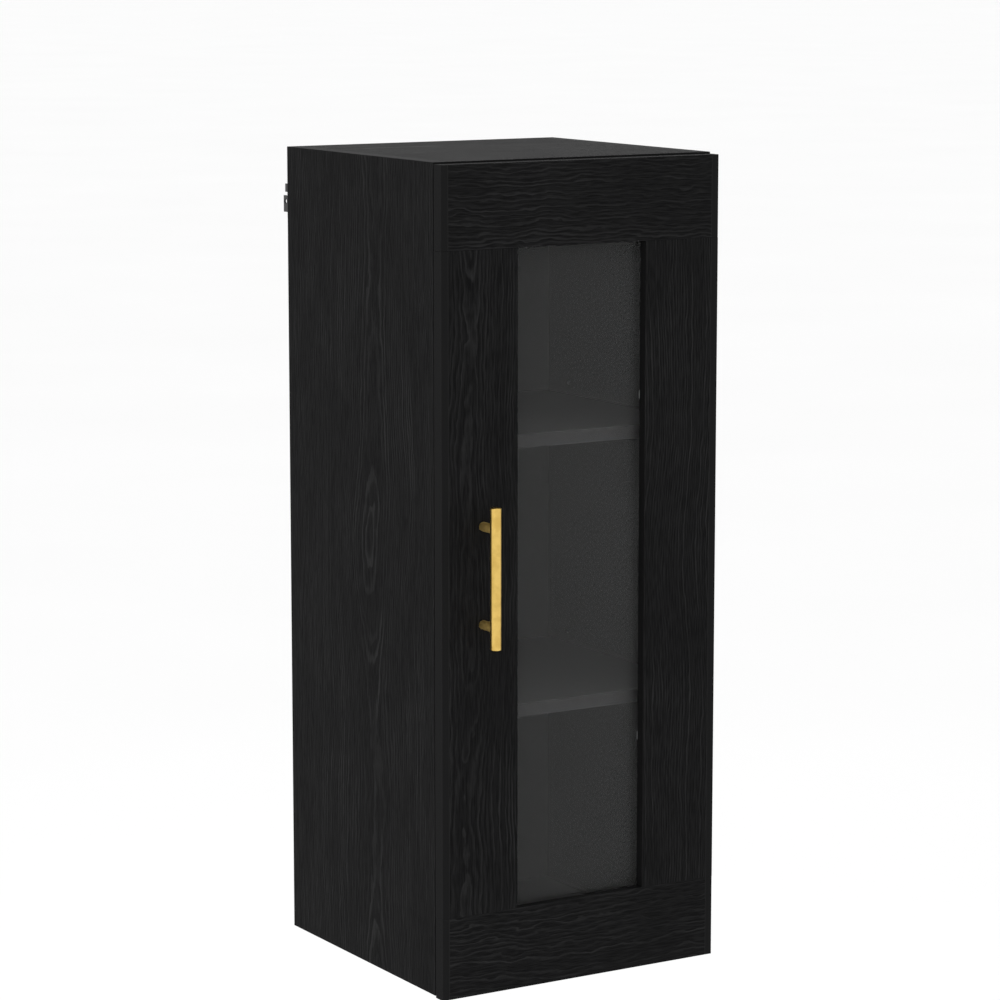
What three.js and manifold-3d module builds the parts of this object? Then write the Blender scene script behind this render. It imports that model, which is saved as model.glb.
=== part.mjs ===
// A tall hanging wall cabinet with one framed glass door, in millimetres, +Z up.
// X runs left to right, Y runs from the front to the back, and the door opens on its right side.
// The origin is under the middle of the whole object, at the height of the door's lower edge.
import * as THREE from "three";
import { mergeVertices } from "three/addons/utils/BufferGeometryUtils.js";
import Module from "manifold-3d";

const wasm = await Module();
wasm.setup();

// ---- Driving dimensions ----

// Overall
const WIDTH = 350; // over the side panels
const DEPTH = 340; // door front to the rear edge of the side panels
const HEIGHT = 900; // door's lower edge to the top of the carcass

// Fits
const BUTT_GAP = 0.1; // between two pieces that lie against each other
const SLIP_GAP = 0.3; // round a piece that sits in a cut made for it

// Boards
const BOARD = 15; // sides, top, bottom and shelves
const BACK_THICK = 3;
const BACK_INSET = 13; // back panel's rear face to the rear edge of the side panels
const GROOVE_DEPTH = 4.5; // groove that holds the back panel
const SHELF_COUNT = 2;
const SHELF_SETBACK = 4; // shelf's front edge behind the carcass's front edge
const SHELF_END_GAP = 1; // round a shelf's ends and rear edge

// Door
const DOOR_THICK = 15;
const DOOR_SHUT_GAP = 1.5; // air between the shut door and the carcass
const DOOR_DROP = 2; // the door hangs this much lower than the carcass
const STILE = 94;
const RAIL = 90;
const TENON_LENGTH = 16;
const TENON_THICK = 5;
const TENON_SHOULDER = 14; // stile's edge to its tenon
const TENON_BEHIND_LIP_MIDDLE = 0.5;
const GLASS_THICK = 3;
const GLASS_LIP = 11; // wood left in front of the glass
const GLASS_EDGE_GAP = 1;
const REBATE_WIDTH = 8; // wood that overlaps the glass
const CLIP_LENGTH = 14;
const CLIP_WIDTH = 11;
const CLIP_THICK = 2;
const CLIP_OVER_GLASS = 5;
const CLIP_CORNER = 2;
const CLIP_STEP_GAP = 1.5; // clip's step to the rebate's wall
const CLIP_SCREW_RADIUS = 3;
const CLIP_SCREW_HEAD = 1.4;
const CLIP_HEIGHTS = [-190, 190]; // from the middle of the glass
const BUMPER_RADIUS = 4;
const BUMPER_FROM_END = 14; // bumper's centre to the end of the door

// Handle
const HANDLE_LENGTH = 153;
const HANDLE_BAR_RADIUS = 6;
const HANDLE_BAR_CHAMFER = 0.8;
const HANDLE_POST_RADIUS = 5;
const HANDLE_POST_SPAN = 106; // between the posts' centres
const HANDLE_STANDOFF = 26.5; // door front to the bar's axis
const HANDLE_FROM_EDGE = 50.5; // door's left edge to the bar's axis
const HANDLE_ABOVE_MIDDLE = 12; // above the middle of the door
const HANDLE_SCREW_RADIUS = 2;
const HANDLE_SCREW_DEPTH = 13; // screw in the post
const HANDLE_SCREW_HEAD_RADIUS = 4.5;
const HANDLE_SCREW_HEAD = 2.6;
const HANDLE_SCREW_HEAD_BEVEL = 1.4;
const HANDLE_SCREW_HEAD_RIM = 1;

// Cam fittings that hold the top and bottom panels between the sides
const CAM_RADIUS = 7.5;
const CAM_DEPTH = 12.5;
const CAM_REACH = 24; // side panel's inner face to the cam's centre
const CAM_SLOT_WIDTH = 1.6;
const CAM_SLOT_LENGTH = 10;
const CAM_SLOT_DEPTH = 1.8;
const CAM_BOLT_RUN = 3.75; // how far the bolt's hole goes on past the cam's centre
const BOLT_SHANK_RADIUS = 3;
const BOLT_THREAD_RADIUS = 2.5;
const BOLT_THREAD_LENGTH = 10;
const BOLT_HEAD_RADIUS = 3.2;
const BOLT_HEAD = 3;
const BOLT_NECK_RADIUS = 1.6;
const BOLT_NECK = 3;
const TIP_CHAMFER = 1; // on the end of a bolt or a shelf pin
const CAM_FROM_FRONT = 50;
const CAM_FROM_BACK = 60;

// Shelf pins and the holes for other shelf heights
const PIN_SHANK_RADIUS = 2.5;
const PIN_SHANK_LENGTH = 9;
const PIN_HEAD_RADIUS = 3.5;
const PIN_HEAD_LENGTH = 8;
const PIN_FROM_FRONT = 45;
const PIN_FROM_BACK = 60;
const PIN_STEP = 32;

// Hanging bracket
const BRACKET_SHEET = 2;
const BRACKET_STANDOFF = 11; // rear edge of the side panel to the wall
const BRACKET_EDGE_INSET = 1; // side panel's outer face to the bracket
const BRACKET_BEND_RADIUS = 5;
const BRACKET_BEND_TAIL = 3; // straight end of the strap, inside the wall flange
const FLANGE_FROM_BEND = 2;
const FLANGE_CORNER = 1.5;
const BRACKET_TOP = 28; // below the top of the carcass
const BRACKET_HEIGHT = 52;
const BRACKET_REACH = 30; // width of the wall flange
const BRACKET_LIP = 10; // lip that turns round onto the side panel's inner face
const EAR_LOW = 73.5; // below the top of the carcass
const EAR_HIGH = 55;
const EAR_HOLE_RADIUS = 2.9;
const EAR_HOLE_DOWN = 61.5;
const STRAP_LOW = 51;
const STRAP_HIGH = 42;
const WALL_FLANGE_LOW = 57;
const KEYHOLE_RADIUS = 4.5;
const KEYHOLE_SLOT_RADIUS = 2.5;
const KEYHOLE_RISE = 14;
const KEYHOLE_FROM_LOW = 3.5; // flange's lower edge to the keyhole
const KEYHOLE_IN = 20; // side panel's outer face to the keyhole's centre
const BRACKET_SCREW_RADIUS = 1.9;
const BRACKET_SCREW_LENGTH = 25;
const BRACKET_SCREW_HEAD_RADIUS = 3.8;
const BRACKET_SCREW_HEAD = 2;
const BRACKET_SCREW_DOWN = 70;
const BRACKET_SCREW_POINT = 5;
const BRACKET_SCREW_POINT_RADIUS = 0.4;
const BRACKET_SCREW_HEAD_RIM = 1;
const BRACKET_SCREW_HEAD_BEVEL = 1.2;

// Concealed hinges
const HINGE_FROM_END = 120; // hinge's centre to the end of the door
const CUP_RADIUS = 17.5;
const CUP_DEPTH = 12;
const CUP_WALL = 1.2;
const CUP_FROM_EDGE = 22.5; // cup's centre to the door's edge
const CUP_FLANGE = 0.8;
const CUP_RIM = 1; // flange beyond the cup's wall
const CUP_WING_WIDTH = 15;
const CUP_WING_SPAN = 54;
const CUP_WING_CORNER = 3;
const CUP_SCREW_SPAN = 45;
const CUP_SCREW_OFFSET = 9; // cup's centre to its screws, away from the door's edge
const HINGE_SCREW_RADIUS = 3.6;
const HINGE_SCREW_HEAD = 1.5;
const ARM_SHEET = 1.5;
const ARM_INNER = 14; // between the arm's two cheeks
const ARM_PIN_RADIUS = 1.5;
const ARM_PIN_FROM_CUP_EDGE = 4; // cup's far edge to the pin
const ARM_PIN_BACK = 2.5; // carcass's front edge to the pin
const ARM_NOSE_RADIUS = 2.8;
const ARM_LENGTH = 56; // carcass's front edge to the arm's rear end
const ARM_TOP = 17; // side panel's inner face to the arm's web
const ARM_FOOT = 4.5; // side panel's inner face to the cheeks
const ARM_SLOPE = 18; // pin to the web's front end
const ARM_FOOT_FROM_SLOPE = 2; // web's front end to the cheeks' foot
const ARM_THROAT = [9, 11]; // from the pin, towards the panel and backwards, to the lower corner of the nose
const ARM_NOSE_RISE = 6; // pin to the top of the nose's straight front
const ARM_PIN_SHORT = 0.2; // cheek's outer face to the pin's end
const ARM_SCREW_FROM_END = 11;
const LINK_THICK = 1.4;
const LINK_WIDTH = 7;
const LINK_TIP_RADIUS = 1;
const LINK_EYE_RADIUS = 2.6;
const LINK_EYE_GAP = 0.15;
const LINK_TIP_FROM_CUP_EDGE = 3.5; // cup's near edge to the link's tip
const LINK_TIP_DEEP = 7.5; // door's rear face to the link's tip
const LINK_TIP_PULL = [-2, -6]; // how the goose neck leaves the tip
const LINK_EYE_PULL = [0, -4]; // how it comes to the eye
const LINK_STEPS = 14;
const PLATE_FROM_FRONT = 37; // carcass's front edge to the plate's screws
const PLATE_THICK = 2;
const PLATE_WING_WIDTH = 14;
const PLATE_WING_SPAN = 50;
const PLATE_WING_CORNER = 4;
const PLATE_SCREW_SPAN = 32;
const PLATE_SCREW_LENGTH = 10;
const PLATE_SCREW_RADIUS = 2.5;
const PLATE_BODY_LENGTH = 30;
const PLATE_BODY_GAP = 0.6;

// ---- Values worked out from the driving dimensions ----

const LEFT = -WIDTH / 2;
const RIGHT = WIDTH / 2;
const INNER = WIDTH / 2 - BOARD; // half of the inside width
const CARCASS_FRONT = DOOR_THICK + DOOR_SHUT_GAP;
const CARCASS_LOW = DOOR_DROP;
const DOOR_TOP = HEIGHT - DOOR_DROP;
const FLOOR = CARCASS_LOW + BOARD; // upper face of the bottom panel
const CEILING = HEIGHT - BOARD; // lower face of the top panel
const BACK_REAR = DEPTH - BACK_INSET;
const BACK_FRONT = BACK_REAR - BACK_THICK;
const SHELF_BAY = (CEILING - FLOOR - SHELF_COUNT * BOARD) / (SHELF_COUNT + 1);
const SHELF_HEIGHTS = Array.from({ length: SHELF_COUNT }, (_, i) => FLOOR + SHELF_BAY * (i + 1) + BOARD * i);
const OPENING_HALF = WIDTH / 2 - STILE;
const OPENING_LOW = RAIL;
const OPENING_HIGH = DOOR_TOP - RAIL;
const OPENING_MIDDLE = (OPENING_LOW + OPENING_HIGH) / 2;
const HANDLE_X = LEFT + HANDLE_FROM_EDGE;
const HANDLE_Z = DOOR_TOP / 2 + HANDLE_ABOVE_MIDDLE;
const HINGE_HEIGHTS = { lower: HINGE_FROM_END, upper: DOOR_TOP - HINGE_FROM_END };
const CAM_PLACES = [CARCASS_FRONT + CAM_FROM_FRONT, DEPTH - CAM_FROM_BACK];
const PIN_PLACES = [CARCASS_FRONT + PIN_FROM_FRONT, DEPTH - PIN_FROM_BACK];
const SIDES = { left: -1, right: 1 };
const ROUND = 24; // facets of a full circle
const SMALL_ROUND = 12; // facets of a small hole or screw
const CORNER_STEPS = 4;
const BEND_STEPS = 6;
const THROUGH = 1; // how far a cutter runs past the face that it cuts

// ---- Shapes ----

const BASES = {
  x: new THREE.Matrix4().makeBasis(axis(0, 1, 0), axis(0, 0, 1), axis(1, 0, 0)),
  y: new THREE.Matrix4().makeBasis(axis(1, 0, 0), axis(0, 0, 1), axis(0, -1, 0)),
  z: new THREE.Matrix4(),
};

function axis(x, y, z) {
  return new THREE.Vector3(x, y, z);
}

// A block between two values on each axis.
function block([x0, x1], [y0, y1], [z0, z1]) {
  const box = new THREE.BoxGeometry(x1 - x0, y1 - y0, z1 - z0);
  return box.translate((x0 + x1) / 2, (y0 + y1) / 2, (z0 + z1) / 2);
}

// An outline pushed along an axis from one value to another.
// The outline is drawn in (y, z) for the X axis, in (x, z) for the Y axis and in (x, y) for the Z axis.
function pushed(outline, along, from, to) {
  const solid = new THREE.ExtrudeGeometry(outline, { depth: to - from, bevelEnabled: false });
  solid.translate(0, 0, along === "y" ? -to : from);
  return solid.applyMatrix4(BASES[along]);
}

// A round bar along an axis, through a centre in the plane across it.
function bar(along, radius, from, to, [u, v] = [0, 0], facets = SMALL_ROUND) {
  return pushed(disc(u, v, radius, facets), along, from, to);
}

function disc(u, v, radius, facets) {
  const points = [];
  for (let i = 0; i < facets; i++) {
    const turn = (2 * Math.PI * i) / facets;
    points.push(new THREE.Vector2(u + radius * Math.cos(turn), v + radius * Math.sin(turn)));
  }
  return new THREE.Shape(points);
}

// A rectangle with rounded corners.
function rounded(u0, u1, v0, v1, radius) {
  const shape = new THREE.Shape();
  shape.moveTo(u0 + radius, v0);
  shape.lineTo(u1 - radius, v0);
  shape.absarc(u1 - radius, v0 + radius, radius, -Math.PI / 2, 0);
  shape.lineTo(u1, v1 - radius);
  shape.absarc(u1 - radius, v1 - radius, radius, 0, Math.PI / 2);
  shape.lineTo(u0 + radius, v1);
  shape.absarc(u0 + radius, v1 - radius, radius, Math.PI / 2, Math.PI);
  shape.lineTo(u0, v0 + radius);
  shape.absarc(u0 + radius, v0 + radius, radius, Math.PI, 1.5 * Math.PI);
  return new THREE.Shape(shape.getPoints(CORNER_STEPS));
}

// A turned piece: [radius, height] steps from the axis back to the axis, with the height along an axis.
function turned(along, profile, facets = SMALL_ROUND) {
  const points = profile.map(([radius, height]) => new THREE.Vector2(radius, height));
  const lathe = new THREE.LatheGeometry(points, facets);
  if (along === "x") lathe.rotateZ(-Math.PI / 2);
  if (along === "z") lathe.rotateX(Math.PI / 2);
  return lathe;
}

function solidOf(geometry) {
  const bare = geometry.clone();
  bare.deleteAttribute("normal");
  bare.deleteAttribute("uv");
  const merged = mergeVertices(bare, 1e-4);
  const mesh = { numProp: 3, vertProperties: merged.attributes.position.array };
  return new wasm.Manifold(new wasm.Mesh({ ...mesh, triVerts: new Uint32Array(merged.index.array) }));
}

function geometryOf(solid) {
  const mesh = solid.getMesh();
  const geometry = new THREE.BufferGeometry();
  geometry.setAttribute("position", new THREE.BufferAttribute(mesh.vertProperties, 3));
  geometry.setIndex(new THREE.BufferAttribute(mesh.triVerts, 1));
  return geometry;
}

function joined(first, ...others) {
  return geometryOf(others.reduce((whole, other) => whole.add(solidOf(other)), solidOf(first)));
}

function cut(base, ...tools) {
  return geometryOf(tools.reduce((whole, tool) => whole.subtract(solidOf(tool)), solidOf(base)));
}

// ---- Finishes ----

const FINISHES = {
  blackWood: { color: 0x1f1f20, roughness: 0.55, metalness: 0 },
  blackBoard: { color: 0x2c2c2d, roughness: 0.6, metalness: 0 },
  glass: { color: 0xdfe6e6, roughness: 0.05, metalness: 0, transparent: true, opacity: 0.3 },
  gold: { color: 0xc9a54b, roughness: 0.3, metalness: 1 },
  steel: { color: 0xb4b6b8, roughness: 0.35, metalness: 1 },
  zinc: { color: 0x9fa2a5, roughness: 0.45, metalness: 1 },
  blackSteel: { color: 0x1b1b1c, roughness: 0.5, metalness: 0.6 },
  clearPlastic: { color: 0xd8dadb, roughness: 0.3, metalness: 0 },
  softPad: { color: 0xb9bbb8, roughness: 0.7, metalness: 0 },
};

function piece(name, geometry, finish, place = [0, 0, 0]) {
  const mesh = new THREE.Mesh(geometry, new THREE.MeshStandardMaterial(FINISHES[finish]));
  mesh.name = name;
  mesh.position.set(...place);
  return mesh;
}

// ---- Carcass ----

// The two values on the X axis of a span given by its distances in from the outer face of a side panel.
function inFrom(side, near, far) {
  const a = side * (WIDTH / 2 - near);
  const b = side * (WIDTH / 2 - far);
  return [Math.min(a, b), Math.max(a, b)];
}

// A hole bored into a side panel from its inner face.
function sideHole(side, radius, depth, y, z) {
  const [from, to] = inFrom(side, BOARD - depth, BOARD + THROUGH);
  return bar("x", radius + SLIP_GAP / 2, from, to, [y, z]);
}

function sidePanel(side) {
  const board = block(inFrom(side, 0, BOARD), [CARCASS_FRONT, DEPTH], [CARCASS_LOW, HEIGHT]);
  const cuts = [
    block(
      inFrom(side, BOARD - GROOVE_DEPTH, BOARD + THROUGH),
      [BACK_FRONT - SLIP_GAP / 2, BACK_REAR + SLIP_GAP / 2],
      [FLOOR - GROOVE_DEPTH, CEILING + GROOVE_DEPTH],
    ),
  ];
  for (const y of CAM_PLACES) {
    for (const z of [FLOOR - BOARD / 2, CEILING + BOARD / 2]) {
      cuts.push(sideHole(side, BOLT_THREAD_RADIUS, BOLT_THREAD_LENGTH + 1, y, z));
    }
  }
  for (const shelf of SHELF_HEIGHTS) {
    for (const step of [-PIN_STEP, 0, PIN_STEP]) {
      for (const y of PIN_PLACES) {
        cuts.push(sideHole(side, PIN_SHANK_RADIUS, PIN_SHANK_LENGTH + 1, y, pinHeight(shelf) + step));
      }
    }
  }
  if (side === SIDES.right) {
    for (const z of Object.values(HINGE_HEIGHTS)) {
      for (const half of [-0.5, 0.5]) {
        const y = CARCASS_FRONT + PLATE_FROM_FRONT;
        cuts.push(sideHole(side, PLATE_SCREW_RADIUS, PLATE_SCREW_LENGTH + 1, y, z + half * PLATE_SCREW_SPAN));
      }
    }
  }
  cuts.push(bracketScrewHole(side));
  return cut(board, ...cuts);
}

function bracketScrewHole(side) {
  const from = DEPTH - BRACKET_SCREW_LENGTH - 1;
  const centre = [side * (WIDTH / 2 - BOARD / 2), HEIGHT - BRACKET_SCREW_DOWN];
  return bar("y", BRACKET_SCREW_RADIUS + SLIP_GAP, from, DEPTH + THROUGH, centre);
}

// The top or bottom panel, with its lower face at low. The groove for the back panel spans two
// heights measured from the inner face. The cams go in from below.
function levelPanel(low, innerFace, grooveSpan) {
  const half = INNER - BUTT_GAP;
  const board = block([-half, half], [CARCASS_FRONT, DEPTH], [low, low + BOARD]);
  const cuts = [
    block(
      [-half - THROUGH, half + THROUGH],
      [BACK_FRONT - SLIP_GAP / 2, BACK_REAR + SLIP_GAP / 2],
      grooveSpan.map((z) => innerFace + z),
    ),
  ];
  for (const side of Object.values(SIDES)) {
    for (const y of CAM_PLACES) {
      const x = side * (INNER - CAM_REACH);
      const camTop = low + CAM_DEPTH + SLIP_GAP;
      cuts.push(bar("z", CAM_RADIUS + SLIP_GAP / 2, low - THROUGH, camTop, [x, y], ROUND));
      const [from, to] = [x, side * (INNER + THROUGH)].sort((a, b) => a - b);
      cuts.push(bar("x", BOLT_SHANK_RADIUS + SLIP_GAP, from, to, [y, low + BOARD / 2]));
    }
  }
  return cut(board, ...cuts);
}

function backPanel() {
  const reach = GROOVE_DEPTH - SLIP_GAP;
  return block(
    [-INNER - reach, INNER + reach],
    [BACK_FRONT, BACK_REAR],
    [FLOOR - reach, CEILING + reach],
  );
}

function shelfBoard() {
  const half = INNER - SHELF_END_GAP;
  return block([-half, half], [CARCASS_FRONT + SHELF_SETBACK, BACK_FRONT - SHELF_END_GAP], [0, BOARD]);
}

function pinHeight(shelf) {
  return shelf - PIN_HEAD_RADIUS - BUTT_GAP;
}

// A shelf pin that points along +X, with its shoulder at the origin.
function shelfPin() {
  return turned("x", [
    [0, -PIN_SHANK_LENGTH],
    [PIN_SHANK_RADIUS, -PIN_SHANK_LENGTH],
    [PIN_SHANK_RADIUS, BUTT_GAP],
    [PIN_HEAD_RADIUS, BUTT_GAP],
    [PIN_HEAD_RADIUS, PIN_HEAD_LENGTH - TIP_CHAMFER],
    [PIN_HEAD_RADIUS - TIP_CHAMFER, PIN_HEAD_LENGTH],
    [0, PIN_HEAD_LENGTH],
  ]);
}

// A cam lock with its slotted face at the origin, looking down. Its bolt comes in along X.
function camLock(side) {
  const drum = bar("z", CAM_RADIUS, 0, CAM_DEPTH, [0, 0], ROUND);
  const mouth = side * (CAM_RADIUS + THROUGH);
  const back = -side * CAM_BOLT_RUN;
  const [from, to] = [mouth, back].sort((a, b) => a - b);
  const half = CAM_SLOT_LENGTH / 2;
  const width = CAM_SLOT_WIDTH / 2;
  return cut(
    drum,
    bar("x", BOLT_HEAD_RADIUS + SLIP_GAP, from, to, [0, BOARD / 2]),
    block([-half, half], [-width, width], [-THROUGH, CAM_SLOT_DEPTH]),
    block([-width, width], [-half, half], [-THROUGH, CAM_SLOT_DEPTH]),
  );
}

// A cam bolt along X from its thread, in the side panel, to its head in the cam.
// The side panel's inner face is at x = 0.
function camBolt() {
  const head = CAM_REACH;
  return turned("x", [
    [0, -BOLT_THREAD_LENGTH],
    [BOLT_THREAD_RADIUS, -BOLT_THREAD_LENGTH],
    [BOLT_THREAD_RADIUS, BUTT_GAP],
    [BOLT_SHANK_RADIUS, BUTT_GAP],
    [BOLT_SHANK_RADIUS, head - BOLT_HEAD - BOLT_NECK],
    [BOLT_NECK_RADIUS, head - BOLT_HEAD - BOLT_NECK],
    [BOLT_NECK_RADIUS, head - BOLT_HEAD],
    [BOLT_HEAD_RADIUS, head - BOLT_HEAD],
    [BOLT_HEAD_RADIUS, head - TIP_CHAMFER],
    [BOLT_HEAD_RADIUS - TIP_CHAMFER, head],
    [0, head],
  ]);
}

// ---- Hanging bracket ----

// The bracket of the left side. Heights are measured down from the top of the carcass.
function bracket() {
  const outer = LEFT + BRACKET_EDGE_INSET;
  const inner = outer + BRACKET_SHEET;
  const face = DEPTH + BUTT_GAP;
  const wall = DEPTH + BRACKET_STANDOFF;
  const low = HEIGHT - BRACKET_TOP - BRACKET_HEIGHT;
  const lipIn = LEFT + BOARD + SLIP_GAP;
  const screw = [LEFT + BOARD / 2, HEIGHT - BRACKET_SCREW_DOWN];
  const earHole = [(face + BRACKET_SHEET + wall) / 2, HEIGHT - EAR_HOLE_DOWN];
  const base = cut(
    block([outer, lipIn + BRACKET_SHEET], [face, face + BRACKET_SHEET], [low, HEIGHT - STRAP_HIGH]),
    bar("y", BRACKET_SCREW_RADIUS + SLIP_GAP, DEPTH - THROUGH, wall, screw),
  );
  const lip = block(
    [lipIn, lipIn + BRACKET_SHEET],
    [DEPTH - BRACKET_LIP, face + BRACKET_SHEET],
    [low, HEIGHT - STRAP_HIGH],
  );
  const ear = cut(
    block([outer, inner], [face, wall], [HEIGHT - EAR_LOW, HEIGHT - EAR_HIGH]),
    bar("x", EAR_HOLE_RADIUS, outer - THROUGH, inner + THROUGH, earHole),
  );
  return joined(base, lip, ear, bracketStrap(outer, face, wall), wallFlange(outer, wall));
}

// The strap that leaves the base, bends round through a quarter circle and becomes the wall flange.
function bracketStrap(outer, face, wall) {
  const outside = BRACKET_BEND_RADIUS;
  const inside = outside - BRACKET_SHEET;
  const centre = [outer + outside, wall - outside];
  const strap = new THREE.Shape();
  strap.moveTo(outer, face);
  strap.lineTo(outer + BRACKET_SHEET, face);
  strap.lineTo(outer + BRACKET_SHEET, centre[1]);
  strap.absarc(...centre, inside, Math.PI, Math.PI / 2, true);
  strap.lineTo(centre[0] + BRACKET_BEND_TAIL, wall - BRACKET_SHEET);
  strap.lineTo(centre[0] + BRACKET_BEND_TAIL, wall);
  strap.lineTo(centre[0], wall);
  strap.absarc(...centre, outside, Math.PI / 2, Math.PI);
  const outline = new THREE.Shape(strap.getPoints(BEND_STEPS));
  return pushed(outline, "z", HEIGHT - STRAP_LOW, HEIGHT - STRAP_HIGH);
}

function wallFlange(outer, wall) {
  const low = HEIGHT - WALL_FLANGE_LOW;
  const high = HEIGHT - BRACKET_TOP;
  const from = outer + BRACKET_BEND_RADIUS + FLANGE_FROM_BEND;
  const x = LEFT + KEYHOLE_IN;
  const entry = low + KEYHOLE_RADIUS + KEYHOLE_FROM_LOW;
  const top = entry + KEYHOLE_RISE;
  const plate = rounded(from, LEFT + BRACKET_REACH, low, high, FLANGE_CORNER);
  const through = [wall - BRACKET_SHEET - THROUGH, wall + THROUGH];
  return cut(
    pushed(plate, "y", wall - BRACKET_SHEET, wall),
    bar("y", KEYHOLE_RADIUS, ...through, [x, entry]),
    bar("y", KEYHOLE_SLOT_RADIUS, ...through, [x, top]),
    block([x - KEYHOLE_SLOT_RADIUS, x + KEYHOLE_SLOT_RADIUS], through, [entry, top]),
  );
}

// The screw that holds the bracket, along Y with its head's seat at the origin and its tip in front.
function bracketScrew() {
  return turned("y", [
    [0, -BRACKET_SCREW_LENGTH],
    [BRACKET_SCREW_POINT_RADIUS, -BRACKET_SCREW_LENGTH],
    [BRACKET_SCREW_RADIUS, -BRACKET_SCREW_LENGTH + BRACKET_SCREW_POINT],
    [BRACKET_SCREW_RADIUS, BUTT_GAP],
    [BRACKET_SCREW_HEAD_RADIUS, BUTT_GAP],
    [BRACKET_SCREW_HEAD_RADIUS, BRACKET_SCREW_HEAD_RIM],
    [BRACKET_SCREW_HEAD_RADIUS - BRACKET_SCREW_HEAD_BEVEL, BRACKET_SCREW_HEAD],
    [0, BRACKET_SCREW_HEAD],
  ]);
}

// ---- Door frame ----

// The step behind the opening that the glass lies in.
function glassRebate() {
  return block(
    [-OPENING_HALF - REBATE_WIDTH, OPENING_HALF + REBATE_WIDTH],
    [GLASS_LIP, DOOR_THICK + THROUGH],
    [OPENING_LOW - REBATE_WIDTH, OPENING_HIGH + REBATE_WIDTH],
  );
}

// A stile's tenon at one end, made larger by a gap all round where it is the mortise.
function tenon(side, end, gap) {
  const middle = GLASS_LIP / 2 + TENON_BEHIND_LIP_MIDDLE;
  const [x0, x1] = inFrom(side, TENON_SHOULDER, STILE - TENON_SHOULDER);
  const root = end > 0 ? OPENING_HIGH : OPENING_LOW;
  const [z0, z1] = [root - end, root + end * (TENON_LENGTH + gap)].sort((a, b) => a - b);
  return block(
    [x0 - gap, x1 + gap],
    [middle - TENON_THICK / 2 - gap, middle + TENON_THICK / 2 + gap],
    [z0, z1],
  );
}

function rail(end) {
  const [low, high] = end > 0 ? [OPENING_HIGH, DOOR_TOP] : [0, OPENING_LOW];
  const board = block([LEFT, RIGHT], [0, DOOR_THICK], [low, high]);
  return cut(board, glassRebate(), tenon(-1, end, SLIP_GAP), tenon(1, end, SLIP_GAP));
}

function stile(side) {
  const board = block(
    inFrom(side, 0, STILE),
    [0, DOOR_THICK],
    [OPENING_LOW + BUTT_GAP, OPENING_HIGH - BUTT_GAP],
  );
  const cuts = [glassRebate()];
  if (side === SIDES.right) {
    for (const z of Object.values(HINGE_HEIGHTS)) {
      const centre = [RIGHT - CUP_FROM_EDGE, z];
      const floor = DOOR_THICK - CUP_DEPTH - SLIP_GAP;
      cuts.push(bar("y", CUP_RADIUS + SLIP_GAP, floor, DOOR_THICK + THROUGH, centre, ROUND));
    }
  } else {
    for (const z of postHeights()) {
      cuts.push(bar("y", HANDLE_SCREW_RADIUS + SLIP_GAP, -THROUGH, DOOR_THICK + THROUGH, [HANDLE_X, z]));
    }
  }
  return joined(cut(board, ...cuts), tenon(side, 1, 0), tenon(side, -1, 0));
}

function glassPane() {
  const reach = REBATE_WIDTH - GLASS_EDGE_GAP;
  const front = GLASS_LIP + BUTT_GAP;
  return block(
    [-OPENING_HALF - reach, OPENING_HALF + reach],
    [front, front + GLASS_THICK],
    [OPENING_LOW - reach, OPENING_HIGH + reach],
  );
}

// A glass clip on the right stile, with the opening's edge at x = 0 and the door's rear face at y = 0.
function glassClip() {
  const foot = GLASS_LIP + GLASS_THICK + 2 * BUTT_GAP - DOOR_THICK;
  const half = CLIP_WIDTH / 2;
  const toGlass = REBATE_WIDTH - CLIP_OVER_GLASS;
  const plate = pushed(
    rounded(toGlass, toGlass + CLIP_LENGTH, -half, half, CLIP_CORNER),
    "y",
    BUTT_GAP,
    BUTT_GAP + CLIP_THICK,
  );
  const step = block([toGlass, REBATE_WIDTH - CLIP_STEP_GAP], [foot, CLIP_THICK / 2], [-half, half]);
  const middle = REBATE_WIDTH + (toGlass + CLIP_LENGTH - REBATE_WIDTH) / 2;
  const head = bar("y", CLIP_SCREW_RADIUS, CLIP_THICK / 2, CLIP_THICK + CLIP_SCREW_HEAD, [middle, 0]);
  return joined(plate, step, head);
}

function bumper() {
  return bar("y", BUMPER_RADIUS, BUTT_GAP / 2, DOOR_SHUT_GAP - BUTT_GAP / 2);
}

// ---- Handle ----

function postHeights() {
  return [-0.5, 0.5].map((half) => HANDLE_Z + half * HANDLE_POST_SPAN);
}

function handleBar() {
  const half = HANDLE_LENGTH / 2;
  const edge = HANDLE_BAR_CHAMFER;
  return turned("z", [
    [0, -half],
    [HANDLE_BAR_RADIUS - edge, -half],
    [HANDLE_BAR_RADIUS, -half + edge],
    [HANDLE_BAR_RADIUS, half - edge],
    [HANDLE_BAR_RADIUS - edge, half],
    [0, half],
  ], ROUND);
}

// A post from the door's front face, at y = 0, to the bar, with its end hollowed to the bar's shape.
function handlePost() {
  const across = [-2 * HANDLE_POST_RADIUS, 2 * HANDLE_POST_RADIUS];
  const hollow = bar("z", HANDLE_BAR_RADIUS + SLIP_GAP, ...across, [0, -HANDLE_STANDOFF], ROUND);
  const thread = bar("y", HANDLE_SCREW_RADIUS + SLIP_GAP, -HANDLE_SCREW_DEPTH - 1, THROUGH);
  const post = bar("y", HANDLE_POST_RADIUS, -HANDLE_STANDOFF, -BUTT_GAP, [0, 0], ROUND);
  return cut(post, hollow, thread);
}

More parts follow.
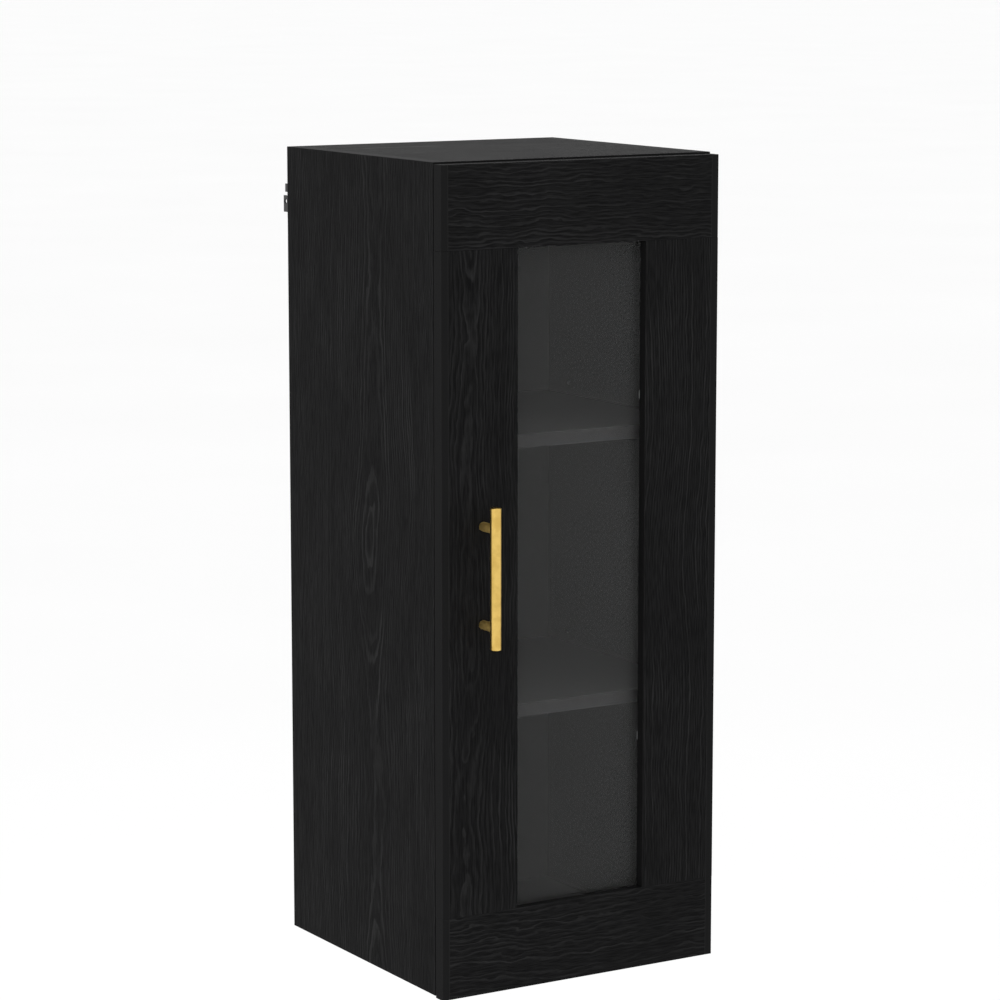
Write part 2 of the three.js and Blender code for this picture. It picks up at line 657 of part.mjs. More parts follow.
// A handle screw along Y, with its head behind the door's rear face.
function handleScrew() {
  const seat = DOOR_THICK + BUTT_GAP;
  return turned("y", [
    [0, -HANDLE_SCREW_DEPTH],
    [HANDLE_SCREW_RADIUS, -HANDLE_SCREW_DEPTH],
    [HANDLE_SCREW_RADIUS, seat],
    [HANDLE_SCREW_HEAD_RADIUS, seat],
    [HANDLE_SCREW_HEAD_RADIUS, seat + HANDLE_SCREW_HEAD_RIM],
    [HANDLE_SCREW_HEAD_RADIUS - HANDLE_SCREW_HEAD_BEVEL, seat + HANDLE_SCREW_HEAD],
    [0, seat + HANDLE_SCREW_HEAD],
  ]);
}

// ---- Hinge ----
// Each hinge is drawn with its origin on the right side panel's inner front edge, at the hinge's middle.

const DOOR_REAR = -DOOR_SHUT_GAP;
const CUP_X = BOARD - CUP_FROM_EDGE;
const PIN_X = CUP_X - CUP_RADIUS + ARM_PIN_FROM_CUP_EDGE;
const TIP_X = CUP_X + CUP_RADIUS - LINK_TIP_FROM_CUP_EDGE;
const TIP = new THREE.Vector2(TIP_X, DOOR_REAR - LINK_TIP_DEEP);
const PIVOT = new THREE.Vector2(PIN_X, ARM_PIN_BACK);

function hingeCup() {
  const wingX = CUP_X - CUP_SCREW_OFFSET;
  const wing = rounded(
    wingX - CUP_WING_WIDTH / 2,
    wingX + CUP_WING_WIDTH / 2,
    -CUP_WING_SPAN / 2,
    CUP_WING_SPAN / 2,
    CUP_WING_CORNER,
  );
  const flangeFrom = DOOR_REAR + BUTT_GAP;
  const flangeTo = DOOR_REAR + CUP_FLANGE;
  const bottom = DOOR_REAR - CUP_DEPTH;
  const screws = [-0.5, 0.5].map((half) =>
    bar("y", HINGE_SCREW_RADIUS, flangeFrom, flangeTo + HINGE_SCREW_HEAD, [wingX, half * CUP_SCREW_SPAN]));
  const outside = joined(
    bar("y", CUP_RADIUS, bottom, flangeTo, [CUP_X, 0], ROUND),
    bar("y", CUP_RADIUS + CUP_RIM, flangeFrom, flangeTo, [CUP_X, 0], ROUND),
    pushed(wing, "y", flangeFrom, flangeTo),
    ...screws,
  );
  const inside = [bottom + CUP_WALL, flangeTo + THROUGH];
  return cut(outside, bar("y", CUP_RADIUS - CUP_WALL, ...inside, [CUP_X, 0], ROUND));
}

// The arm is a folded channel: two cheeks joined by a web, with the link's pin through its nose.
function hingeArm() {
  const cheek = new THREE.Shape();
  const slopeEnd = ARM_PIN_BACK + ARM_SLOPE;
  cheek.absarc(PIN_X, ARM_PIN_BACK, ARM_NOSE_RADIUS, Math.PI, 2 * Math.PI);
  cheek.lineTo(PIN_X + ARM_THROAT[0], ARM_PIN_BACK + ARM_THROAT[1]);
  cheek.lineTo(-ARM_FOOT, slopeEnd + ARM_FOOT_FROM_SLOPE);
  cheek.lineTo(-ARM_FOOT, ARM_LENGTH);
  cheek.lineTo(-ARM_TOP, ARM_LENGTH);
  cheek.lineTo(-ARM_TOP, slopeEnd);
  cheek.lineTo(PIN_X - ARM_NOSE_RADIUS, ARM_PIN_BACK + ARM_NOSE_RISE);
  const outline = new THREE.Shape(cheek.getPoints(BEND_STEPS));
  const inner = ARM_INNER / 2;
  const outer = inner + ARM_SHEET;
  const web = block([-ARM_TOP, -ARM_TOP + ARM_SHEET], [slopeEnd, ARM_LENGTH], [-outer, outer]);
  const screwPlace = [ARM_LENGTH - ARM_SCREW_FROM_END, 0];
  const screwSpan = [-ARM_TOP - HINGE_SCREW_HEAD, -ARM_TOP + ARM_SHEET / 2];
  const screw = bar("x", HINGE_SCREW_RADIUS, ...screwSpan, screwPlace);
  const pinHalf = outer - ARM_PIN_SHORT;
  return joined(
    pushed(outline, "z", inner, outer),
    pushed(outline, "z", -outer, -inner),
    web,
    bar("z", ARM_PIN_RADIUS, -pinHalf, pinHalf, [PIN_X, ARM_PIN_BACK]),
    screw,
  );
}

// The mounting plate is screwed to the side panel, and the arm's channel slides over its raised middle.
function hingePlate() {
  const half = PLATE_WING_WIDTH / 2;
  const span = PLATE_WING_SPAN / 2;
  const base = pushed(
    rounded(PLATE_FROM_FRONT - half, PLATE_FROM_FRONT + half, -span, span, PLATE_WING_CORNER),
    "x",
    -PLATE_THICK,
    -BUTT_GAP,
  );
  const bodyHalf = ARM_INNER / 2 - SLIP_GAP;
  const bodyTop = -ARM_TOP + ARM_SHEET + PLATE_BODY_GAP;
  const length = PLATE_BODY_LENGTH / 2;
  const body = block(
    [bodyTop, -BUTT_GAP],
    [PLATE_FROM_FRONT - length, PLATE_FROM_FRONT + length],
    [-bodyHalf, bodyHalf],
  );
  const screws = [-0.5, 0.5].flatMap((part) => {
    const centre = [PLATE_FROM_FRONT, part * PLATE_SCREW_SPAN];
    return [
      bar("x", HINGE_SCREW_RADIUS, -PLATE_THICK - HINGE_SCREW_HEAD, -BUTT_GAP, centre),
      bar("x", PLATE_SCREW_RADIUS, -PLATE_THICK / 2, PLATE_SCREW_LENGTH, centre),
    ];
  });
  return joined(base, body, ...screws);
}

// The link is a goose-necked strap: an eye on the arm's pin, and a rounded tip inside the cup.
function hingeLink() {
  const bend = new THREE.CubicBezierCurve(
    TIP,
    TIP.clone().add(new THREE.Vector2(...LINK_TIP_PULL)),
    PIVOT.clone().add(new THREE.Vector2(...LINK_EYE_PULL)),
    PIVOT,
  );
  const near = [];
  const far = [];
  for (let i = 0; i <= LINK_STEPS; i++) {
    const at = bend.getPointAt(i / LINK_STEPS);
    const along = bend.getTangentAt(i / LINK_STEPS);
    const across = new THREE.Vector2(-along.y, along.x).multiplyScalar(LINK_THICK / 2);
    near.push(at.clone().add(across));
    far.unshift(at.clone().sub(across));
  }
  const half = LINK_WIDTH / 2;
  const strap = pushed(new THREE.Shape([...far, ...near]), "z", -half, half);
  const eye = bar("z", LINK_EYE_RADIUS, -half, half, PIVOT.toArray());
  const tip = bar("z", LINK_TIP_RADIUS, -half, half, TIP.toArray());
  const hole = bar("z", ARM_PIN_RADIUS + LINK_EYE_GAP, -half - THROUGH, half + THROUGH, PIVOT.toArray());
  return cut(joined(strap, eye, tip), hole);
}

// ---- Assembly ----

function carcass() {
  const group = new THREE.Group();
  group.add(
    piece("side_panel_left", sidePanel(SIDES.left), "blackWood"),
    piece("side_panel_right", sidePanel(SIDES.right), "blackWood"),
    piece("top_panel", levelPanel(CEILING, CEILING, [-1, GROOVE_DEPTH]), "blackWood"),
    piece("bottom_panel", levelPanel(CARCASS_LOW, FLOOR, [-GROOVE_DEPTH, 1]), "blackWood"),
    piece("back_panel", backPanel(), "blackBoard"),
  );
  ["shelf_lower", "shelf_upper"].forEach((name, i) => {
    group.add(piece(name, shelfBoard(), "blackBoard", [0, 0, SHELF_HEIGHTS[i]]));
    addShelfPins(group, name, SHELF_HEIGHTS[i]);
  });
  addCams(group, "top", CEILING);
  addCams(group, "bottom", CARCASS_LOW);
  for (const [name, side] of Object.entries(SIDES)) {
    const hanger = piece("hanging_bracket_" + name, bracket(), "blackSteel");
    hanger.scale.x = -side;
    const seat = DEPTH + BUTT_GAP + BRACKET_SHEET;
    const place = [side * (WIDTH / 2 - BOARD / 2), seat, HEIGHT - BRACKET_SCREW_DOWN];
    group.add(hanger, piece("bracket_screw_" + name, bracketScrew(), "zinc", place));
  }
  return group;
}

function addShelfPins(group, shelfName, height) {
  for (const [sideName, side] of Object.entries(SIDES)) {
    PIN_PLACES.forEach((y, i) => {
      const name = shelfName + "_pin_" + sideName + "_" + ["front", "back"][i];
      const pin = piece(name, shelfPin(), "steel", [side * INNER, y, pinHeight(height)]);
      pin.rotation.z = side > 0 ? Math.PI : 0;
      group.add(pin);
    });
  }
}

function addCams(group, panelName, low) {
  for (const [sideName, side] of Object.entries(SIDES)) {
    CAM_PLACES.forEach((y, i) => {
      const place = panelName + "_" + sideName + "_" + ["front", "back"][i];
      const cam = piece("cam_lock_" + place, camLock(side), "zinc", [side * (INNER - CAM_REACH), y, low]);
      const bolt = piece("cam_bolt_" + place, camBolt(), "steel", [side * INNER, y, low + BOARD / 2]);
      bolt.rotation.z = side > 0 ? Math.PI : 0;
      group.add(cam, bolt);
    });
  }
}

function door() {
  const group = new THREE.Group();
  group.add(
    piece("door_top_rail", rail(1), "blackWood"),
    piece("door_bottom_rail", rail(-1), "blackWood"),
    piece("door_stile_left", stile(SIDES.left), "blackWood"),
    piece("door_stile_right", stile(SIDES.right), "blackWood"),
    piece("glass_pane", glassPane(), "glass"),
  );
  for (const [sideName, side] of Object.entries(SIDES)) {
    CLIP_HEIGHTS.forEach((height, i) => {
      const name = "glass_clip_" + sideName + "_" + ["lower", "upper"][i];
      const clip = piece(name, glassClip(), "clearPlastic");
      clip.position.set(side * OPENING_HALF, DOOR_THICK, OPENING_MIDDLE + height);
      clip.scale.x = side;
      group.add(clip);
    });
  }
  const bumperX = LEFT + BOARD / 2;
  group.add(
    piece("door_bumper_lower", bumper(), "softPad", [bumperX, DOOR_THICK, BUMPER_FROM_END]),
    piece("door_bumper_upper", bumper(), "softPad", [bumperX, DOOR_THICK, DOOR_TOP - BUMPER_FROM_END]),
    handle(),
  );
  return group;
}

function handle() {
  const group = new THREE.Group();
  group.position.x = HANDLE_X;
  group.add(piece("handle_bar", handleBar(), "gold", [0, -HANDLE_STANDOFF, HANDLE_Z]));
  postHeights().forEach((z, i) => {
    const end = ["lower", "upper"][i];
    group.add(
      piece("handle_post_" + end, handlePost(), "gold", [0, 0, z]),
      piece("handle_screw_" + end, handleScrew(), "zinc", [0, 0, z]),
    );
  });
  return group;
}

function hinges() {
  const group = new THREE.Group();
  for (const [name, z] of Object.entries(HINGE_HEIGHTS)) {
    const hinge = new THREE.Group();
    hinge.position.set(INNER, CARCASS_FRONT, z);
    hinge.add(
      piece("hinge_cup_" + name, hingeCup(), "steel"),
      piece("hinge_arm_" + name, hingeArm(), "steel"),
      piece("hinge_plate_" + name, hingePlate(), "steel"),
      piece("hinge_link_" + name, hingeLink(), "steel"),
    );
    group.add(hinge);
  }
  return group;
}

const cabinet = new THREE.Group();
const frontMost = -HANDLE_STANDOFF - HANDLE_BAR_RADIUS;
const rearMost = DEPTH + BRACKET_STANDOFF;
cabinet.position.y = -(frontMost + rearMost) / 2;
cabinet.add(carcass(), door(), hinges());

export default cabinet;
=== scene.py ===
import math

import bmesh
import bpy
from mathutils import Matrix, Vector
from mathutils.geometry import tessellate_polygon


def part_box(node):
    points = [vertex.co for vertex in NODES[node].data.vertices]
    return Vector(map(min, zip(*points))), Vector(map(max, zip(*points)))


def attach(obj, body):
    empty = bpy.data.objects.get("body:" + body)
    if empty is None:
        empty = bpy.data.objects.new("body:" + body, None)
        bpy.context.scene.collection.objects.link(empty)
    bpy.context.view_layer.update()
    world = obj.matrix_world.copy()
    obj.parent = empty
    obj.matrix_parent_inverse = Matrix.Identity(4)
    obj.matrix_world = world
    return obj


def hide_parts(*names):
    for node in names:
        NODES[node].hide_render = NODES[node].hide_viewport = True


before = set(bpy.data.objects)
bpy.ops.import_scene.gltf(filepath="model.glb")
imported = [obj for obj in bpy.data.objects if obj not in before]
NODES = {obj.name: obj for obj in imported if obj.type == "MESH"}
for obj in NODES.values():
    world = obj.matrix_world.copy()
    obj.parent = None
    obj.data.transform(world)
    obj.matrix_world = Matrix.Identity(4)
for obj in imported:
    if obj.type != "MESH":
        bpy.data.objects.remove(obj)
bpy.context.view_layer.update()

# A hanging wall cabinet: black wood-grain boards, a glazed door on two cup hinges, and a gold bar handle.
# Metres, Z up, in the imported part's own frame: the door looks along -Y, the wall is on +Y.

MM = 0.001
ENDS = ("lower", "upper")
SIDES = ("left", "right")
TURN = 2 * math.pi
QUARTER = TURN / 4
BUTT_GAP = 0.1 * MM  # between two pieces that lie against each other


# ---- Outlines and solids ----

def arc(x, y, radius, start, sweep, steps):
    """Points on a circle's arc, both ends included."""
    turns = [start + sweep * i / steps for i in range(steps + 1)]
    return [(x + radius * math.cos(t), y + radius * math.sin(t)) for t in turns]


def circle(x, y, radius, facets=40):
    return arc(x, y, radius, 0, TURN, facets)[:-1]


def rounded_rectangle(x0, x1, y0, y1, radius, steps=6):
    corners = ((x1, y1, 0), (x0, y1, 1), (x0, y0, 2), (x1, y0, 3))
    points = []
    for x, y, quarter in corners:
        inwards_x = x - math.copysign(radius, x - (x0 + x1) / 2)
        inwards_y = y - math.copysign(radius, y - (y0 + y1) / 2)
        points += arc(inwards_x, inwards_y, radius, quarter * QUARTER, QUARTER, steps)
    return points


def mesh_of(name, shape):
    bmesh.ops.recalc_face_normals(shape, faces=shape.faces)
    mesh = bpy.data.meshes.new(name)
    shape.to_mesh(mesh)
    shape.free()
    return mesh


def loft(name, rings):
    """A closed skin over rings of points, each ring with the same count, capped at both ends."""
    shape = bmesh.new()
    layers = [[shape.verts.new(point) for point in ring] for ring in rings]
    count = len(rings[0])
    for below, above in zip(layers, layers[1:]):
        for i in range(count):
            j = (i + 1) % count
            shape.faces.new((below[i], below[j], above[j], above[i]))
    shape.faces.new(layers[0][::-1])
    shape.faces.new(layers[-1])
    return mesh_of(name, shape)


def turned(name, profile, facets=48):
    """A piece turned about its own Z axis, from (radius, height) steps."""
    rings = [[(x, y, height) for x, y in circle(0, 0, radius, facets)] for radius, height in profile]
    return loft(name, rings)


def prism(name, outline, holes, low, high):
    """A closed flat piece in the XY plane between two heights, with holes right through it."""
    loops = [outline, *holes]
    flat = [Vector((x, y, 0)) for loop in loops for x, y in loop]
    shape = bmesh.new()
    floor = [shape.verts.new((p.x, p.y, low)) for p in flat]
    roof = [shape.verts.new((p.x, p.y, high)) for p in flat]
    for a, b, c in tessellate_polygon([[Vector((x, y, 0)) for x, y in loop] for loop in loops]):
        shape.faces.new((floor[a], floor[b], floor[c]))
        shape.faces.new((roof[a], roof[b], roof[c]))
    first = 0
    for loop in loops:
        for i in range(len(loop)):
            a = first + i
            b = first + (i + 1) % len(loop)
            shape.faces.new((floor[a], floor[b], roof[b], roof[a]))
        first += len(loop)
    return mesh_of(name, shape)


def combined(base, other, operation):
    """The first mesh cut by, joined to or kept within the second; both are used up."""
    name = base.name
    body = bpy.data.objects.new(name, base)
    tool = bpy.data.objects.new(name + "_tool", other)
    for each in (body, tool):
        bpy.context.scene.collection.objects.link(each)
    change = body.modifiers.new("combine", "BOOLEAN")
    change.object = tool
    change.operation = operation
    change.solver = "EXACT"
    made = bpy.data.meshes.new_from_object(body.evaluated_get(bpy.context.evaluated_depsgraph_get()))
    for each in (body, tool):
        bpy.data.objects.remove(each)
    bpy.data.meshes.remove(base)
    bpy.data.meshes.remove(other)
    made.name = name
    return made


def rounded_profile(radius, low, high, edge, steps=4):
    """The (radius, height) steps of a short round bar with both rims rounded over."""
    foot = [(radius - edge + x, low + edge + y) for x, y in arc(0, 0, edge, -QUARTER, QUARTER, steps)]
    head = [(radius - edge + x, high - edge + y) for x, y in arc(0, 0, edge, 0, QUARTER, steps)]
    return foot + head


def dome_profile(radius, foot, rise, steps):
    """The (radius, height) steps of a dome that starts at a foot's height, without its top point."""
    turns = [QUARTER * i / steps for i in range(steps)]
    return [(radius * math.cos(turn), foot + rise * math.sin(turn)) for turn in turns]


def screw_mesh(name, shank, length, head, height, thread_pitch):
    """A pan-head screw with its head's seat at the origin and its head towards +Z, with a cross recess."""
    profile = [(0.2 * shank, -length)]
    ridge = -length + 1.5 * shank
    while ridge < -2 * thread_pitch:
        profile += [(0.78 * shank, ridge), (shank, ridge + 0.5 * thread_pitch)]
        ridge += thread_pitch
    dome = dome_profile(head, 0.35 * height, 0.65 * height, 6)
    profile += [(0.85 * shank, ridge), (0.85 * shank, 0), (head, 0), *dome, (0.1 * head, height)]
    solid = turned(name, profile, 40)
    return combined(solid, cross_cutter(0.55 * head, 0.16 * head, height, 0.6 * height), "DIFFERENCE")


def cross_cutter(reach, width, top, depth):
    """A cross-shaped cutter that narrows downwards, for the recess in a screw's or cam's face."""
    def ring(scale, height):
        r, w = reach * scale, width
        right_and_front = ((r, -w), (r, w), (w, w), (w, r), (-w, r), (-w, w))
        left_and_back = tuple((-x, -y) for x, y in right_and_front)
        return [(x, y, height) for x, y in right_and_front + left_and_back]
    return loft("cross_cutter", [ring(0.55, top - depth), ring(1, top), ring(1, top + 1 * MM)])


# ---- Placing ----

SMOOTH_BELOW = math.radians(35)
BEVEL_ABOVE = math.radians(40)
BEVEL_STEPS = 3
FLAT_FACES_FIRST = 100
WELD_REACH = 0.005 * MM
FLAT_WITHIN = math.radians(0.5)


def show(name, mesh, material, body, at=(0, 0, 0), towards=None, stands_for=()):
    """Puts a made piece in place on its CAD body, with its own Z axis turned towards a direction if given."""
    piece = bpy.data.objects.new(name, mesh)
    bpy.context.scene.collection.objects.link(piece)
    if towards:
        piece.rotation_mode = "QUATERNION"
        piece.rotation_quaternion = Vector(towards).to_track_quat("Z", "Y")
    piece.location = at
    if not mesh.materials:
        mesh.materials.append(material)
    mesh.set_sharp_from_angle(angle=SMOOTH_BELOW)
    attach(piece, body)
    if stands_for:
        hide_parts(*stands_for)
    return piece


def ease(piece, width):
    """Rounds a piece's sharp edges over, and keeps its flat faces shaded flat."""
    bevel = piece.modifiers.new("eased_edges", "BEVEL")
    bevel.width = width
    bevel.segments = BEVEL_STEPS
    bevel.limit_method = "ANGLE"
    bevel.angle_limit = BEVEL_ABOVE
    level = piece.modifiers.new("level_faces", "WEIGHTED_NORMAL")
    level.weight = FLAT_FACES_FIRST


def finish_node(name, material, edge, flat_sided=True):
    """Gives a carried-over CAD node its material and, unless edge is 0, eased edges.
    A flat-sided node's faces are made whole first, so that no seam shows across them."""
    node = NODES[name]
    node.data.materials.clear()
    node.data.materials.append(material)
    node.data.polygons.foreach_set("use_smooth", [edge > 0] * len(node.data.polygons))
    weld = node.modifiers.new("closed_skin", "WELD")
    weld.merge_threshold = WELD_REACH
    if edge and flat_sided:
        whole_faces = node.modifiers.new("whole_flat_faces", "DECIMATE")
        whole_faces.decimate_type = "DISSOLVE"
        whole_faces.angle_limit = FLAT_WITHIN
    if edge:
        ease(node, edge)


def middle(name):
    low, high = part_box(name)
    return (low + high) / 2


# ---- Node helpers ----

def put(tree, kind, inputs=None, **settings):
    """Adds a node. An input is a number, a tuple or another node's output."""
    node = tree.nodes.new(kind)
    for key, setting in settings.items():
        setattr(node, key, setting)
    for key, source in (inputs or {}).items():
        if isinstance(source, bpy.types.NodeSocket):
            tree.links.new(source, node.inputs[key])
        else:
            node.inputs[key].default_value = source
    return node


def maths(tree, operation, *terms):
    return put(tree, "ShaderNodeMath", dict(enumerate(terms)), operation=operation).outputs[0]


def vector_maths(tree, operation, *terms):
    return put(tree, "ShaderNodeVectorMath", dict(enumerate(terms)), operation=operation).outputs[0]


def step(tree, source, low, high, out_low=0.0, out_high=1.0):
    """A smooth step from one value to another."""
    inputs = {0: source, 1: low, 2: high, 3: out_low, 4: out_high}
    return put(tree, "ShaderNodeMapRange", inputs, interpolation_type="SMOOTHSTEP").outputs[0]


def noise(tree, place, seed, detail=2.0, roughness=0.5, colour=False, scale=1.0):
    inputs = {"Vector": place, "W": seed, "Scale": scale, "Detail": detail, "Roughness": roughness}
    node = put(tree, "ShaderNodeTexNoise", inputs, noise_dimensions="4D")
    return node.outputs["Color" if colour else "Fac"]


def mix_colour(tree, share, first, second):
    """Mixes two colours, each a tuple or another node's output."""
    colours = [(*colour, 1) if isinstance(colour, tuple) else colour for colour in (first, second)]
    return put(tree, "ShaderNodeMix", {0: share, 6: colours[0], 7: colours[1]}, data_type="RGBA").outputs[2]


def split(tree, vector):
    """The three parts of a vector."""
    return put(tree, "ShaderNodeSeparateXYZ", {0: vector}).outputs


def face_normal(tree):
    return split(tree, put(tree, "ShaderNodeNewGeometry").outputs["Normal"])


def stretched(tree, place, factors):
    return vector_maths(tree, "MULTIPLY", place, factors)


def times(tree, first, second):
    return maths(tree, "MULTIPLY", first, second)


def new_group(name, inputs, outputs):
    """A shader node group with named inputs and outputs; a Vector input is given as a tuple."""
    tree = bpy.data.node_groups.new(name, "ShaderNodeTree")
    for label, default in inputs.items():
        kind = "NodeSocketVector" if isinstance(default, tuple) else "NodeSocketFloat"
        tree.interface.new_socket(label, in_out="INPUT", socket_type=kind).default_value = default
    for label in outputs:
        tree.interface.new_socket(label, in_out="OUTPUT", socket_type="NodeSocketFloat")
    return tree, tree.nodes.new("NodeGroupInput").outputs, tree.nodes.new("NodeGroupOutput").inputs


def use_group(tree, group, **inputs):
    """Places a node group; an input's name is written with _ for a space."""
    node = tree.nodes.new("ShaderNodeGroup")
    node.node_tree = group
    for key, source in inputs.items():
        socket = node.inputs[key.replace("_", " ")]
        if isinstance(source, bpy.types.NodeSocket):
            tree.links.new(source, socket)
        else:
            socket.default_value = source
    return node.outputs


# ---- Effects that several materials share ----

def wood_figure_group():
    """The rings of a tree cut by a board's face, and pores drawn out along the grain, in metres."""
    tree, given, result = new_group("wood_figure", {
        "Across": 0.0, "Along": 0.0, "Into": 0.0, "Heart": 0.0, "Heart Depth": 0.05,
        "Wander": 0.02, "Ring Spacing": 0.003, "Ragged": 0.5, "Seed": 0.0,
    }, ("Tone", "Height"))
    parts = {0: given["Across"], 1: given["Into"], 2: given["Along"]}
    place = put(tree, "ShaderNodeCombineXYZ", parts).outputs[0]
    seed = given["Seed"]
    slow = noise(tree, stretched(tree, place, (5, 5, 3)), seed, detail=1.0, colour=True)
    drift = split(tree, vector_maths(tree, "SUBTRACT", slow, (0.5, 0.5, 0.5)))
    reach = times(tree, given["Wander"], 4.0)
    sideways = maths(tree, "SUBTRACT", given["Across"], given["Heart"])
    sideways = maths(tree, "MULTIPLY_ADD", drift[0], reach, sideways)
    inwards = maths(tree, "ADD", given["Into"], given["Heart Depth"])
    inwards = maths(tree, "MULTIPLY_ADD", drift[1], reach, inwards)
    radius = maths(tree, "MULTIPLY_ADD", sideways, sideways, times(tree, inwards, inwards))
    radius = maths(tree, "SQRT", radius)
    tremble = noise(tree, stretched(tree, place, (80, 80, 30)), seed, detail=2.0)
    tremble = times(tree, maths(tree, "SUBTRACT", tremble, 0.5), given["Ragged"])
    rings = maths(tree, "MULTIPLY_ADD", tremble, 4.0, maths(tree, "DIVIDE", radius, given["Ring Spacing"]))
    turn = maths(tree, "FRACT", rings)
    rise = step(tree, turn, 0.3, 0.8)
    fall = step(tree, turn, 0.88, 1.0, 1.0, 0.0)
    ring = times(tree, rise, fall)
    ring_seed = maths(tree, "MULTIPLY_ADD", rings, 0.21, seed)
    band = put(tree, "ShaderNodeTexNoise", {"W": ring_seed, "Detail": 2.0}, noise_dimensions="1D")
    band = band.outputs["Fac"]
    patch = noise(tree, stretched(tree, place, (22, 22, 9)), seed, detail=2.0)
    bold = times(tree, step(tree, band, 0.35, 0.65, 0.15, 1.0), step(tree, patch, 0.35, 0.65, 0.25, 1.0))
    fibre = noise(tree, stretched(tree, place, (1100, 1100, 55)), seed, detail=1.0)
    fibre = step(tree, fibre, 0.36, 0.66)
    lines = times(tree, ring, bold)
    tree.links.new(maths(tree, "MULTIPLY_ADD", lines, 0.72, times(tree, fibre, 0.28)), result["Tone"])
    tree.links.new(maths(tree, "MULTIPLY_ADD", lines, 0.6, times(tree, fibre, 0.4)), result["Height"])
    return tree


def edge_wear_group():
    """Rubbed edges: 1 along the edges of the block between two corners, broken up by noise."""
    tree, given, result = new_group("edge_wear", {
        "Place": (0.0, 0.0, 0.0), "Low Corner": (0.0, 0.0, 0.0), "High Corner": (1.0, 1.0, 1.0),
        "Width": 0.001, "Seed": 0.0,
    }, ("Mask",))
    past_low = vector_maths(tree, "SUBTRACT", given["Place"], given["Low Corner"])
    past_high = vector_maths(tree, "SUBTRACT", given["High Corner"], given["Place"])
    nearest = split(tree, vector_maths(tree, "MINIMUM", past_low, past_high))
    smaller = maths(tree, "MINIMUM", nearest[0], nearest[1])
    larger = maths(tree, "MAXIMUM", nearest[0], nearest[1])
    second = maths(tree, "MAXIMUM", smaller, maths(tree, "MINIMUM", larger, nearest[2]))
    broken = noise(tree, given["Place"], given["Seed"], detail=4.0, scale=60)
    width = times(tree, given["Width"], step(tree, broken, 0.3, 0.7, 0.4, 1.4))
    tree.links.new(step(tree, maths(tree, "DIVIDE", second, width), 0.3, 1.0, 1.0, 0.0), result["Mask"])
    return tree


def dust_group():
    """Fine settled dust, mostly on faces that look up, with faint rubbed smears."""
    tree, given, result = new_group("dust", {"Place": (0.0, 0.0, 0.0), "Seed": 0.0}, ("Mask",))
    upwards = step(tree, face_normal(tree)[2], 0.2, 0.95, 0.12, 1.0)
    specks = step(tree, noise(tree, given["Place"], given["Seed"], detail=3.0, scale=700), 0.52, 0.78)
    smears = step(tree, noise(tree, given["Place"], given["Seed"], detail=4.0, scale=9), 0.35, 0.75)
    amount = maths(tree, "MULTIPLY_ADD", specks, 0.6, times(tree, smears, 0.4))
    tree.links.new(times(tree, amount, upwards), result["Mask"])
    return tree


def brushing_group():
    """Fine parallel scratches: the stretch gives how tight the pattern is along each axis."""
    tree, given, result = new_group("brushing", {
        "Place": (0.0, 0.0, 0.0), "Stretch": (4000.0, 4000.0, 40.0), "Seed": 0.0,
    }, ("Scratches", "Cloud"))
    drawn_out = stretched(tree, given["Place"], given["Stretch"])
    tree.links.new(noise(tree, drawn_out, given["Seed"], detail=3.0, roughness=0.6), result["Scratches"])
    cloud = noise(tree, given["Place"], given["Seed"], detail=3.0, scale=90)
    tree.links.new(step(tree, cloud, 0.3, 0.7), result["Cloud"])
    return tree


WOOD_FIGURE = wood_figure_group()
EDGE_WEAR = edge_wear_group()
DUST = dust_group()
BRUSHING = brushing_group()


# ---- Materials ----

def new_material(name, **shader):
    """A material with a Principled shader, its plain numbers set on the shader's own sockets."""
    material = bpy.data.materials.new(name)
    material.use_nodes = True
    tree = material.node_tree
    principled = tree.nodes["Principled BSDF"]
    for key, setting in shader.items():
        principled.inputs[key.replace("_", " ")].default_value = setting
    return material, tree, principled.inputs


def object_place(tree):
    return put(tree, "ShaderNodeTexCoord").outputs["Object"]


def bump(tree, height, distance, strength=1.0):
    inputs = {"Height": height, "Distance": distance, "Strength": strength}
    return put(tree, "ShaderNodeBump", inputs).outputs["Normal"]


def edge_wear(tree, place, node_name, width, seed):
    """How rubbed a CAD node's edges are at a place, from 0 to 1."""
    low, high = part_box(node_name)
    worn = use_group(tree, EDGE_WEAR, Place=place, Low_Corner=low, High_Corner=high, Width=width, Seed=seed)
    return worn["Mask"]


AXES = {"x": 0, "y": 1, "z": 2}
DOOR_HALF_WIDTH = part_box("door_top_rail")[1].x
PLAIN_TONE = 0.3
# The grain's dark and bright tones are partly the board's own colour and partly painted light. Their spread
# is widened so that the embossed grain's dark grooves and bright crests show in the colour itself: painted
# shade in the grooves, painted highlight on the crests.
WOOD_DARK_WITH_PAINTED_SHADE = (0.0048, 0.0048, 0.0050)
WOOD_BRIGHT_WITH_PAINTED_HIGHLIGHT = (0.0208, 0.0208, 0.0211)
WOOD_WORN = (0.016, 0.016, 0.0165)
WOOD_RELIEF = 0.35 * MM
SEAM_GREY = (0.02, 0.02, 0.02)
INNER_GREY = (0.064, 0.064, 0.0645)
DUST_COLOUR = (0.35, 0.34, 0.32)


